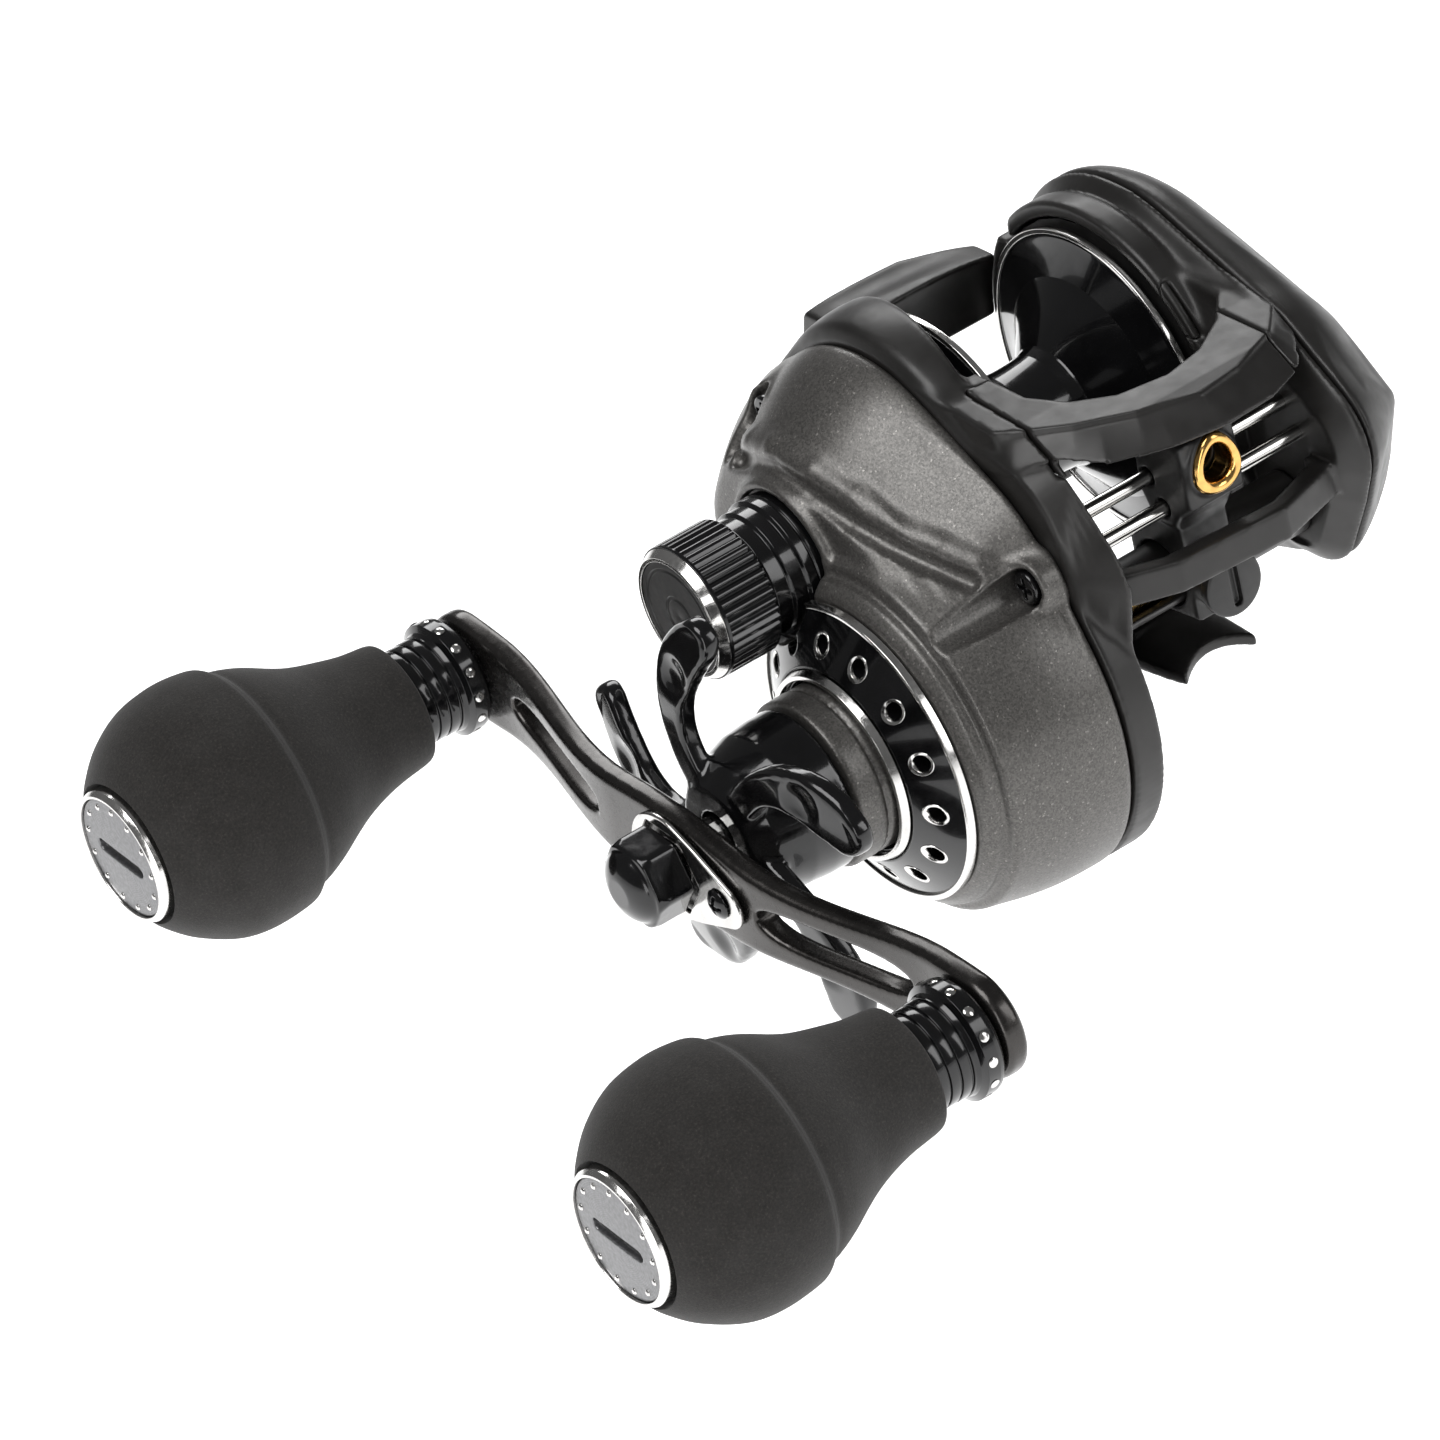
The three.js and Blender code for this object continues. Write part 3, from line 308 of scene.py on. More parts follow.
# ---- turned shapes -------------------------------------------------------------------------
def rounded(outline, radius, closed=False, steps=3):
    """The outline with its corners turned into small arcs."""
    points = [np.array(p, float) for p in outline]
    count, out = len(points), []
    for i, p in enumerate(points):
        if not closed and i in (0, count - 1):
            out.append(p)
            continue
        a, b = points[i - 1] - p, points[(i + 1) % count] - p
        la, lb = np.linalg.norm(a), np.linalg.norm(b)
        a, b = a / la, b / lb
        angle = math.acos(max(-1, min(1, float(a @ b))))
        if angle > math.radians(172):
            out.append(p)
            continue
        cut = min(radius / math.tan(angle / 2), 0.42 * la, 0.42 * lb)
        for k in range(steps + 1):
            t = k / steps
            out.append((1 - t) ** 2 * (p + a * cut) + 2 * t * (1 - t) * p + t ** 2 * (p + b * cut))
    return [tuple(p) for p in out]


def lathe(outline, centre, segments=96, radius=0.15, closed=False, swell=None):
    """Points and faces of a shape turned about an axis along X. swell(x, r, angle) changes r."""
    profile = rounded(outline, radius, closed)
    angles = np.linspace(0, 2 * math.pi, segments, endpoint=False)
    points, rows = [], []
    for x, r in profile:
        if r < 1e-6:
            rows.append([len(points)] * segments)
            points.append((x, centre[0], centre[1]))
            continue
        rows.append(list(range(len(points), len(points) + segments)))
        for angle in angles:
            reach = swell(x, r, angle) if swell else r
            points.append((x, centre[0] + reach * math.cos(angle), centre[1] + reach * math.sin(angle)))
    faces = []
    pairs = list(zip(rows, rows[1:] + rows[:1] if closed else rows[1:]))
    for first, second in pairs:
        for i in range(segments):
            j = (i + 1) % segments
            face = [first[i], first[j], second[j], second[i]]
            face = [v for k, v in enumerate(face) if v not in face[:k]]
            if len(face) > 2:
                faces.append(face)
    return points, outward(points, faces)


def strip(stations, count):
    """Faces that join rows of points, each row closed on itself."""
    faces = []
    for first in range(0, (stations - 1) * count, count):
        for i in range(count):
            j = (i + 1) % count
            faces.append([first + i, first + j, first + count + j, first + count + i])
    return faces


def outward(points, faces):
    """The faces, turned round if they enclose a negative volume."""
    p = np.asarray(points, float)
    volume = 0.0
    for face in faces:
        for k in range(1, len(face) - 1):
            volume += float(np.dot(p[face[0]], np.cross(p[face[k]], p[face[k + 1]])))
    return [face[::-1] for face in faces] if volume < 0 else faces


def turned(name, outline, centre, segments, radius, material, body, nodes=(), sharp=40, closed=True,
           swell=None):
    shape = lathe(outline, centre, segments, radius, closed, swell)
    return piece(name, *shape, material, body, nodes, sharp)


def merged(*parts):
    """Several (points, faces) as one."""
    points, faces = [], []
    for some_points, some_faces in parts:
        start = len(points)
        points.extend([tuple(p) for p in some_points])
        faces.extend([[v + start for v in face] for face in some_faces])
    return points, faces


# ---- sculpted shapes: signed distance fields, in millimetres --------------------------------
class Grid:
    def __init__(self, low, high, cell):
        self.cell = cell * COARSE
        self.low = [a - 2.5 * self.cell for a in low]
        axes = [np.arange(a, b + 2.5 * self.cell, self.cell, dtype=np.float32)
                for a, b in zip(self.low, high)]
        self.X, self.Y, self.Z = axes[0][:, None, None], axes[1][None, :, None], axes[2][None, None, :]
        self.shape = tuple(len(axis) for axis in axes)


def both(a, b, k=0.0):
    """Common part of two fields, with a rounded edge of about k."""
    if k <= 0:
        return np.maximum(a, b)
    h = np.clip(0.5 + 0.5 * (a - b) / k, 0, 1)
    return b + (a - b) * h + k * h * (1 - h)


def either(a, b, k=0.0):
    """Union of two fields, with a fillet of about k."""
    return -both(-a, -b, k)


def less(a, b, k=0.0):
    return both(a, -b, k)


def slab(v, low, high):
    return np.maximum(low - v, v - high)


def about(g, centre):
    return np.hypot(g.Y - centre[0], g.Z - centre[1])


def hull(g, circles, count=132):
    """The band pulled tight round circles (y, z, r). A radius may change along X."""
    best = None
    for k in range(count):
        c, s = math.cos(2 * math.pi * k / count), math.sin(2 * math.pi * k / count)
        reach = None
        for y, z, r in circles:
            support = y * c + z * s + r
            reach = support if reach is None else np.maximum(reach, support)
        distance = g.Y * np.float32(c) + g.Z * np.float32(s) - reach
        best = distance if best is None else np.maximum(best, distance)
    return best


def capsule(g, a, b, r):
    ax, ay, az = a
    d = [q - p for p, q in zip(a, b)]
    length = sum(v * v for v in d)
    t = np.clip(((g.X - ax) * d[0] + (g.Y - ay) * d[1] + (g.Z - az) * d[2]) / length, 0, 1)
    return np.sqrt((g.X - ax - t * d[0]) ** 2 + (g.Y - ay - t * d[1]) ** 2
                   + (g.Z - az - t * d[2]) ** 2) - r


def box(g, low, high, r=0.0):
    d = [np.abs(v - (a + b) / 2) - ((b - a) / 2 - r)
         for v, a, b in zip((g.X, g.Y, g.Z), low, high)]
    outside = np.sqrt(sum(np.maximum(v, 0) ** 2 for v in d))
    return outside + np.minimum(np.maximum(np.maximum(d[0], d[1]), d[2]), 0) - r


def polygon(u, v, corners):
    """Signed distance to a closed outline in the (u, v) plane, negative inside."""
    best, sign = None, None
    for (au, av), (bu, bv) in zip(corners, corners[1:] + corners[:1]):
        eu, ev = bu - au, bv - av
        wu, wv = u - au, v - av
        t = np.clip((wu * eu + wv * ev) / (eu * eu + ev * ev), 0, 1)
        d = (wu - eu * t) ** 2 + (wv - ev * t) ** 2
        above, below, left = v >= av, v < bv, eu * wv > ev * wu
        flip = np.where((above & below & left) | (~above & ~below & ~left), -1.0, 1.0)
        best = d if best is None else np.minimum(best, d)
        sign = flip if sign is None else sign * flip
    return sign * np.sqrt(best)


def skin(g, field):
    """Points and faces of the surface where the field is zero, by surface nets."""
    f = np.broadcast_to(field, g.shape).astype(np.float32)
    f = np.where(np.abs(f) < 1e-6, np.float32(1e-6), f)
    s = f < 0
    total = np.zeros([n - 1 for n in f.shape], np.uint8)
    for i in (0, 1):
        for j in (0, 1):
            for k in (0, 1):
                total += s[i:s.shape[0] - 1 + i, j:s.shape[1] - 1 + j, k:s.shape[2] - 1 + k]
    active = (total > 0) & (total < 8)
    index = np.full(active.shape, -1, np.int64)
    cells = np.argwhere(active)
    index[active] = np.arange(len(cells))
    position, hits = np.zeros((len(cells), 3)), np.zeros(len(cells))
    for axis in range(3):
        for p in (0, 1):
            for q in (0, 1):
                start = np.zeros(3, int)
                start[(axis + 1) % 3], start[(axis + 2) % 3] = p, q
                end = start.copy()
                end[axis] = 1
                fa, fb = f[tuple((cells + start).T)], f[tuple((cells + end).T)]
                crossed = (fa < 0) != (fb < 0)
                t = fa[crossed] / (fa[crossed] - fb[crossed])
                step = np.repeat(start[None].astype(float), len(t), 0)
                step[:, axis] = t
                position[crossed] += step
                hits[crossed] += 1
    points = np.array(g.low) + (cells + position / hits[:, None]) * g.cell
    faces = []
    for axis in range(3):
        u, v = (axis + 1) % 3, (axis + 2) % 3
        first = [slice(None)] * 3
        second = [slice(None)] * 3
        first[axis], second[axis] = slice(0, -1), slice(1, None)
        a, b = s[tuple(first)], s[tuple(second)]
        edges = np.argwhere(a != b)
        edges = edges[(edges[:, u] > 0) & (edges[:, v] > 0)
                      & (edges[:, u] < s.shape[u] - 1) & (edges[:, v] < s.shape[v] - 1)]
        around = []
        for du, dv in ((-1, -1), (0, -1), (0, 0), (-1, 0)):
            cell = edges.copy()
            cell[:, u] += du
            cell[:, v] += dv
            around.append(index[tuple(cell.T)])
        quad = np.stack(around, 1)
        inside = a[tuple(edges.T)]
        quad[~inside] = quad[~inside][:, ::-1]
        faces.append(quad)
    return points, np.concatenate(faces)


def relaxed(points, faces, rounds=2):
    """Points moved a little towards their neighbours, without shrinking, so highlights run clean."""
    p, quads = np.array(points), np.asarray(faces)
    a = np.concatenate([quads[:, k] for k in range(4)])
    b = np.concatenate([quads[:, (k + 1) % 4] for k in range(4)])
    count = (np.bincount(a, minlength=len(p)) + np.bincount(b, minlength=len(p)))[:, None]
    for _ in range(rounds):
        for weight in (0.5, -0.52):
            total = np.stack([np.bincount(a, p[b, k], len(p)) + np.bincount(b, p[a, k], len(p))
                              for k in range(3)], 1)
            p = p + weight * (total / count - p)
    return p


def round_axis(x0, x1, centre, reach):
    """Corners of the box round an axis along X."""
    y, z = centre
    return (x0, y - reach, z - reach), (x1, y + reach, z + reach)


def sculpted(name, low, high, cell, field, material, body, nodes=(), move=None, rounds=2):
    g = Grid(low, high, cell)
    points, faces = skin(g, field(g))
    points = relaxed(points, faces, rounds)
    if move:
        points = move(points)
    return piece(name, points, faces, material, body, nodes)


# ---- the body's outlines -------------------------------------------------------------------
def gear_side(drive, spool, shoulder, rear):
    return [(*DRIVE, drive), (SPOOL[0], SPOOL[1] - 1.9, spool),
            (DRIVE[0] + 0.6, DRIVE[1] + 12.5, shoulder), (SPOOL[0] + 8, SPOOL[1] - 2.4, rear)]


def palm_side(spool, front, rear):
    return [(*SPOOL, spool), (SPOOL[0] - 18, SPOOL[1] - 1.4, front), (SPOOL[0] + 7, SPOOL[1] - 1, rear)]


SEAM_X = -19.5
FACE_X = -34.0
SCREW_SEATS = {"front": (-29.0, 21.3, -21.4), "rear": (13.0, 31.5, -24.5)}


def cover_outer(g):
    t = np.clip((SEAM_X - g.X) / (SEAM_X - FACE_X), 0, 1.3)
    body = hull(g, gear_side(24 - 2.5 * t ** 3.2, 21.4 - 9 * t ** 1.55, 18.9 - 8.4 * t ** 0.95,
                             17.4 - 9.2 * t ** 1.55))
    return both(body, slab(g.X, FACE_X, SEAM_X), 1.2)


def cover_field(g):
    rd, rs = about(g, DRIVE), about(g, SPOOL)
    body = cover_outer(g)
    valley = along(g, sunk(VALLEY_LINE, -0.55), 1.0, 0.5)
    body = either(body, along(g, sunk(CREST_LINE, 0.7), 1.0, 0.5), 1.8)
    body = less(body, valley, 0.8)
    step = both(rd - 22.1, slab(g.X, -35.2, -30), 0.8)
    drum = both(rd - (19.3 + np.clip(37.8 + g.X, 0, 1.3)), slab(g.X, -37.8, -30), 0.5)
    body = either(either(body, step, 1.8), drum, 0.6)
    socket = both(rs - 9.6, slab(g.X, -35.4, -28), 0.8)
    body = either(body, socket, 1.2)
    body = less(body, both(rs - 8.6, slab(g.X, -60, -34.2)), 0.3)
    boss = both(rd - 10.4, slab(g.X, -47.2, -30), 0.35)
    boss = less(boss, both(10.0 - rd, slab(g.X, -43.9, -43.5)), 0.1)
    body = either(body, boss, 0.5)
    for y, z, seat in SCREW_SEATS.values():
        spot = about(g, (y, z))
        body = either(body, both(spot - 3.1, slab(g.X, seat - 1.2, SEAM_X), 0.6), 1.6)
        body = less(body, both(spot - 2.4, g.X - seat), 0.35)
    body = less(body, along(g, SLOT_LINE, 1.7, 0.5), 0.5)
    t = np.clip((SEAM_X + 1 - g.X) / 13.3, 0, 1.1)
    hollow = hull(g, gear_side(22.6 - 2.6 * t ** 3.2, 19.8 - 9 * t ** 1.55, 17.3 - 8.4 * t ** 0.95,
                               15.8 - 9.2 * t ** 1.55), 60)
    hollow = both(hollow, -32.2 - g.X)
    hollow = either(hollow, both(rd - 14.6, slab(g.X, -35.8, -31)))
    hollow = either(hollow, both(rd - 9.0, slab(g.X, -45.6, -31)))
    hollow = either(hollow, rd - 6.6)
    hollow = either(hollow, both(rs - 6.8, g.X + 30))
    for y, z, seat in SCREW_SEATS.values():
        hollow = less(hollow, about(g, (y, z)) - 3.9)
        hollow = either(hollow, about(g, (y, z)) - 1.5)
    return less(body, less(hollow, valley - 1.1))


CREST_LINE = [(-29.6, 14.0, 29.6), (-31.4, 8.5, 31.6), (-32.1, 3.0, 33.2), (-32.2, -4.6, 32.6),
              (-31.3, -10.6, 30.6), (-30.2, -16.1, 28.0), (-28.3, -20.6, 26.3), (-26.2, -24.7, 24.4)]
VALLEY_LINE = [(-31.0, 11.5, 28.6), (-32.9, 6.7, 31.1), (-33.4, 0.9, 32.3), (-33.2, -5.4, 31.2),
               (-32.3, -11.4, 29.2), (-31.0, -16.5, 27.3), (-29.3, -21.3, 25.4), (-27.0, -25.6, 23.4)]
SLOT_LINE = [(-25.6, 13.2, 33.4), (-28.0, 14.1, 31.4), (-30.6, 14.9, 28.6)]


def along(g, line, radius, k):
    """A rounded rod that follows a line of points."""
    body = None
    for a, b in zip(line, line[1:]):
        rod = capsule(g, a, b, radius)
        body = rod if body is None else either(body, rod, k)
    return body


def sunk(line, depth):
    """The line moved along X into the cover."""
    return [(x + depth, y, z) for x, y, z in line]


# ---- frame, hood and palm ring: one sculpted band, parted at the hood's seam ------------------
BAR = [(-19.0, -31.6), (-16.5, -34.9), (-8.5, -38.7), (6.0, -39.9), (17.0, -36.4), (18.4, -34.6),
       (18.4, -32.0), (15.0, -34.0), (6.0, -37.3), (-8.5, -36.2), (-15.0, -32.8), (-19.0, -29.0)]
VISOR = [(-19.2, -25.5), (-17.0, -29.8), (-12.5, -34.6), (-5.0, -37.4), (2.0, -38.7), (8.4, -38.3),
         (14.6, -36.0), (18.4, -31.5), (18.4, 2.0), (-19.2, 2.0)]
CREASE = [(-19.2, -22.6), (-16.0, -25.6), (-12.3, -29.0), (-6.2, -32.9), (0.9, -35.6), (7.1, -34.8),
          (14.3, -31.7), (18.4, -27.2), (18.4, 2.0), (-19.2, 2.0)]
OPENING = [(-10.2, 4.0), (-11.0, -4.0), (-12.1, -12.0), (-11.6, -19.8), (-8.9, -24.4), (-4.9, -27.7),
           (1.2, -29.0), (6.6, -27.8), (12.0, -24.3), (15.4, -20.4), (15.4, 4.0)]
HOOD_TOP = ([-39.0, -33.0, -24.0, -16.0, -8.0], [36.4, 37.2, 37.3, 38.0, 38.4])
HOOD_UNDER = ([-38.0, -29.5, -21.0, -14.0], [33.3, 34.5, 32.6, 29.0])
HOOD_ENDS = (-15.75, 13.45)
RIM_EDGE = ([-14.0, 14.0], [-14.9, -10.6])


def visor(g):
    """The hood round the front of the spool opening: a top facet and a front facet."""
    rise = np.clip((g.Z - 33.7) / 2.9, 0, 1)
    outline = polygon(g.X, g.Y, VISOR) * (1 - rise) + polygon(g.X, g.Y, CREASE) * rise
    hood = both(outline, g.Z - np.interp(g.Y, *HOOD_TOP), 0.35)
    hood = both(hood, np.interp(g.Y, *HOOD_UNDER) - g.Z, 0.4)
    hood = both(hood, slab(g.X, -18.9, 18.2), 0.4)
    return less(hood, polygon(g.X, g.Y, OPENING), 0.8)


def band(g):
    rs = about(g, SPOOL)
    edge = np.clip(g.X + 15.4, -4, 0)
    plate = hull(g, gear_side(23.9, 21.3, 18.7, 17.3))
    nose = hull(g, [(-31.0, 21.0, 7.4 + 1.5 * edge), (WORM[0], WORM[1] - 1.5, 8.2 + 1.0 * edge),
                    (-22.0, 24.0, 12 + 0.5 * edge)], 72)
    left = both(either(plate, nose, 1.0), slab(g.X, -19.2, -15.0), 0.4)
    rim_end = np.interp(g.Y, *RIM_EDGE)
    rim = both(rs - (22.0 - 0.03 * (g.X + 14) ** 2), both(-19.2 - g.X, g.X - rim_end), 1.2)
    left = either(left, both(rim, 19.0 - g.Z, 2.0), 1.6)
    front = hull(g, [(-32.2, 22.0, 8.4), (WORM[0], WORM[1] - 1.0, 8.0), (-22.0, 24.0, 12.6)], 72)
    outline = either(hull(g, palm_side(23.1, 17.7, 18.1)), front, 1.0)
    chamfer = 13.9 + 3.9 * np.clip(1 + outline / 5.2, 0, 1) ** 1.25
    right = both(both(outline, g.X - 18.4, 0.5), chamfer - g.X, 0.5)
    lip = both(rs - 22.0, slab(g.X, 12.3, 16), 0.8)
    right = either(right, lip, 0.9)
    notch = box(g, (10.0, 15.0, 34.2), (14.4, 22.0, 42.0), 0.3)
    right = less(right, notch, 0.3)
    body = either(either(left, right), visor(g), 1.3)
    bore = both(rs - 20.1, slab(g.X, -15.2, 30))
    return less(body, bore, 0.4)


CARRIAGE_ROOM = [((-15.3, -34.7, 7.2), (15.3, -21.4, 16.6)), ((-15.3, -33.3, 7.2), (15.3, -21.4, 33.2)),
                 ((-15.3, -38.4, 21.0), (15.3, -26.0, 33.25))]


def frame_field(g):
    body = band(g)
    bar = both(polygon(g.X, g.Y, BAR), slab(g.Z, 16.7, 20.8), 0.35)
    body = either(body, bar, 0.5)
    for y in (16.6, -16.6):
        body = either(body, box(g, (-16.3, y - 2.1, 1.9), (15.9, y + 2.1, 6), 0.6), 0.8)
    body = either(body, box(g, (-16.3, 20.6, 9), (15.9, 23.4, 13), 0.6), 0.8)
    body = less(body, box(g, (-20.2, 19.2, 15.8), (-10.4, 40, 27.2), 0.4))
    body = less(body, both(both(slab(g.X, *HOOD_ENDS) - 0.1, 32.4 - g.Z), g.Y + 14))
    for low, high in CARRIAGE_ROOM:
        body = less(body, box(g, low, high), 0.15)
    for axis, r in ((SPOOL, 6.3), (DRIVE, 5.6), (WORM, 3.5)):
        body = less(body, both(about(g, axis) - r, g.X + 14.5))
    body = less(body, both(about(g, WORM) - 3.5, slab(g.X, 14.6, 17.6)))
    for y, z, _ in SCREW_SEATS.values():
        body = less(body, both(about(g, (y, z)) - 1.5, g.X + 14.5))
    return body


def hood_field(g):
    plate = both(both(band(g), slab(g.X, *HOOD_ENDS) + 0.1), both(32.4 - g.Z, g.Y + 14))
    return plate


def palm_field(g):
    t = np.clip((g.X - 18.7) / 9.5, 0, 1.2)
    body = hull(g, palm_side(23.1 - 8.6 * t ** 2.1, 17.7 - 7.2 * t ** 2.3, 18.1 - 9.1 * t ** 1.9))
    front = hull(g, [(-32.2, 22.0, 8.4 - 7.5 * t ** 1.2), (WORM[0], WORM[1] - 1, 8 - 6 * t ** 1.3),
                     (-22.0, 24.0, 12.6 - 7 * t ** 1.6)], 72)
    body = both(either(body, front, 1.2), slab(g.X, 18.7, 28.2), 1.0)
    t = np.clip((g.X - 17.7) / 8.8, 0, 1.1)
    hollow = hull(g, palm_side(21.4 - 8.6 * t ** 2.1, 16 - 7.2 * t ** 2.3, 16.4 - 9 * t ** 1.9), 60)
    hollow = both(hollow, g.X - 26.4)
    hollow = either(hollow, about(g, SPOOL) - 3.5)
    return less(body, hollow)


BODY_CELL = 0.34
sculpted("gear_cover_shell", (-47.3, -39, -22), (-19.4, 26, 42), BODY_CELL, cover_field,
         "graphite_paint", "reel_body", ["gear_side_cover"])
sculpted("frame_shell", (-19.4, -41, -22), (18.6, 26.5, 45), BODY_CELL, frame_field,
         "satin_black", "reel_body", ["frame"])
sculpted("hood_plate", (-16, -40, 32), (14, -13.5, 40), 0.22, hood_field,
         "satin_black", "reel_body", ["front_hood"])
sculpted("palm_cover_shell", (18.5, -41, 2), (28.4, 26.5, 45), BODY_CELL, palm_field,
         "satin_black", "reel_body", ["palm_side_cover"])


# ---- trim ring, tension assembly and cover screws ---------------------------------------------
TRIM_HOLES = 14
TRIM_HOLE_R = 14.8
TRIM_PHASE = 0.13
TRIM_OUTER, TRIM_INNER, TRIM_RISE = 18.26, 11.4, 3.8
TRIM_SLOPE = TRIM_RISE / (TRIM_OUTER - TRIM_INNER)
CAP_RECESS = 8.6


def cone_x(r):
    """The trim cone's outer face at a radius."""
    return -38.6 - TRIM_RISE * (TRIM_OUTER - r) / (TRIM_OUTER - TRIM_INNER)


def hole_spots():
    angles = [TRIM_PHASE + 2 * math.pi * k / TRIM_HOLES for k in range(TRIM_HOLES)]
    return [(DRIVE[0] + TRIM_HOLE_R * math.cos(a), DRIVE[1] + TRIM_HOLE_R * math.sin(a)) for a in angles]


def trim_field(g):
    rd = about(g, DRIVE)
    cone = both(rd - 18.3, cone_x(rd) - g.X, 0.25)
    cone = both(cone, g.X + 38.1, 0.15)
    cone = less(cone, rd - 10.8)
    cone = less(cone, both(rd - 12.1, g.X + 41.7), 0.15)
    for spot in hole_spots():
        cone = less(cone, about(g, spot) - 1.15, 0.1)
    return less(cone, about(g, SPOOL) - CAP_RECESS)


sculpted("trim_cone", *round_axis(-42.6, -38, DRIVE, 18.5), 0.14, trim_field,
         "gloss_black", "reel_body", ["trim_ring"], rounds=1)


def hole_rims():
    """A bright chamfer round each hole of the trim cone, following the cone's slope."""
    parts = []
    for spot in hole_spots():
        if math.hypot(spot[0] - SPOOL[0], spot[1] - SPOOL[1]) < CAP_RECESS + 1.8:
            continue
        points, faces = lathe([(0.5, 1.04), (0.05, 1.08), (-0.1, 1.42), (0.2, 1.5)], spot, 32, 0.04, True)
        shifted = []
        for x, y, z in points:
            reach = math.hypot(y - DRIVE[0], z - DRIVE[1])
            shifted.append((x + cone_x(TRIM_HOLE_R) + TRIM_SLOPE * (reach - TRIM_HOLE_R), y, z))
        parts.append((shifted, faces))
    return merged(*parts)


piece("trim_hole_rims", *hole_rims(), "bright_rim", "reel_body", sharp=40)


def ring_clear_of_cap(x0, x1, inner, outer, centre):
    """A flat ring whose part under the tension cap's recess is left out."""
    start = math.atan2(SPOOL[1] - centre[1], SPOOL[0] - centre[0])
    half = 0.0
    for step in range(180):
        a = math.radians(step)
        y, z = outer * math.cos(a), outer * math.sin(a)
        gap = math.hypot(y - math.dist(SPOOL, centre), z)
        if gap < CAP_RECESS + 0.1:
            half = a
    angles = np.linspace(start + half, start + 2 * math.pi - half, 120)
    section = rounded([(x0, inner), (x0, outer), (x1, outer), (x1, inner)], 0.12, True)
    points = [(x, centre[0] + r * math.cos(a), centre[1] + r * math.sin(a))
              for a in angles for x, r in section]
    n = len(section)
    faces = strip(len(angles), n)
    faces += [list(range(n))[::-1], [(len(angles) - 1) * n + i for i in range(n)]]
    return points, outward(points, faces)


outer_ring = ring_clear_of_cap(-39.0, -38.0, 18.1, 18.75, DRIVE)
piece("trim_outer_ring", *outer_ring, "bright_rim", "reel_body", sharp=40)
turned("trim_inner_ring", [(-43.0, 11.05), (-43.0, 11.65), (-42.0, 11.95), (-42.0, 11.05)],
       DRIVE, 120, 0.1, "bright_rim", "reel_body")
turned("tension_sleeve",
       [(-31.6, 4.9), (-31.6, 6.3), (-34.3, 6.3), (-34.3, 8.2), (-35.9, 8.2), (-36.1, 7.95), (-36.3, 8.2),
        (-37.4, 8.2), (-37.7, 7.75), (-39.4, 7.7), (-39.7, 7.3), (-41.6, 7.3), (-41.6, 4.9)],
       SPOOL, 96, 0.15, "gloss_black", "reel_body", ["tension_boss"])

KNURL = 44


def knurl(x, r, angle):
    if r < 7.9 or not -48.9 < x < -42.2:
        return r
    return r - 0.34 * max(0.0, 1 - 3.0 * abs((angle * KNURL / (2 * math.pi)) % 1 - 0.5))


turned("tension_cap_body",
       [(-49.8, 0), (-49.8, 6.9), (-49.3, 7.0), (-49.3, 8.3), (-48.9, 8.35), (-48.85, 8.35), (-42.25, 8.35),
        (-42.2, 8.3), (-42.0, 8.1), (-42.0, 7.42), (-43.4, 7.42), (-43.4, 0)],
       SPOOL, KNURL * 8, 0.1, "gloss_black", "tension_cap", ["tension_knob"], closed=False, swell=knurl)
turned("tension_cap_face",
       [(-50.0, 0), (-50.2, 0), (-50.2, 2.0), (-50.05, 2.15), (-50.05, 2.5), (-50.2, 2.65), (-50.2, 5.6),
        (-50.05, 5.75), (-50.05, 6.0), (-50.25, 6.15), (-50.25, 6.85), (-50.0, 6.85)],
       SPOOL, 96, 0.04, "black_plastic", "tension_cap", sharp=30)
turned("tension_cap_rim", [(-49.25, 7.0), (-49.25, 8.2), (-50.4, 7.45), (-50.4, 6.95)],
       SPOOL, 96, 0.1, "bright_rim", "tension_cap")


def screw_field(y, z, seat):
    def field(g):
        r = about(g, (y, z))
        head = both(r - 2.05, slab(g.X, seat - 1.6, seat - 0.3), 0.5)
        for a, b in ((g.Y - y, g.Z - z), (g.Z - z, g.Y - y)):
            head = less(head, both(np.abs(a) - 0.28, both(np.abs(b) - 1.35, g.X - (seat - 0.9))))
        return either(head, both(r - 1.2, slab(g.X, seat - 1, -16.4)))
    return field


for side, (y, z, seat) in SCREW_SEATS.items():
    sculpted(f"cover_screw_{side}_detail", *round_axis(seat - 1.9, -16.2, (y, z), 2.4), 0.13,
             screw_field(y, z, seat), "gloss_black", "reel_body", [f"cover_screw_{side}"], rounds=1)

# ---- spool -----------------------------------------------------------------------------------
SPOOL_R, SPOOL_HALF = 19.4, 11.75
LINE_R, FLARE = 7, 11.2
groove = [(10.9 * math.cos(math.pi * k / 24), LINE_R + FLARE * abs(math.cos(math.pi * k / 24)) ** 3.2)
          for k in range(25)]
turned("spool_body",
       [(11.4, 19.05), (11.0, 18.9), (10.95, 18.4), *groove, (-10.95, 18.4), (-11.0, 18.9), (-11.4, 19.05),
        (-11.6, 19.0), (-SPOOL_HALF, 16.6), (-10.4, 14.4), (-7, 6), (-7, 1.8), (3, 1.8), (3, 6), (7.4, 11.2),
        (10.4, 15.4), (SPOOL_HALF, 16.6), (11.6, 19.0)],
       SPOOL, 128, 0.25, "gloss_black", "spool", ["spool"], sharp=35)
for side, sign in (("palm", 1), ("gear", -1)):
    turned(f"spool_rim_{side}",
           [(sign * 10.85, 18.75), (sign * 10.85, SPOOL_R), (sign * 11.6, SPOOL_R), (sign * SPOOL_HALF, 19.2),
            (sign * SPOOL_HALF, 18.75)],
           SPOOL, 160, 0.12, "bright_rim", "spool", sharp=35)


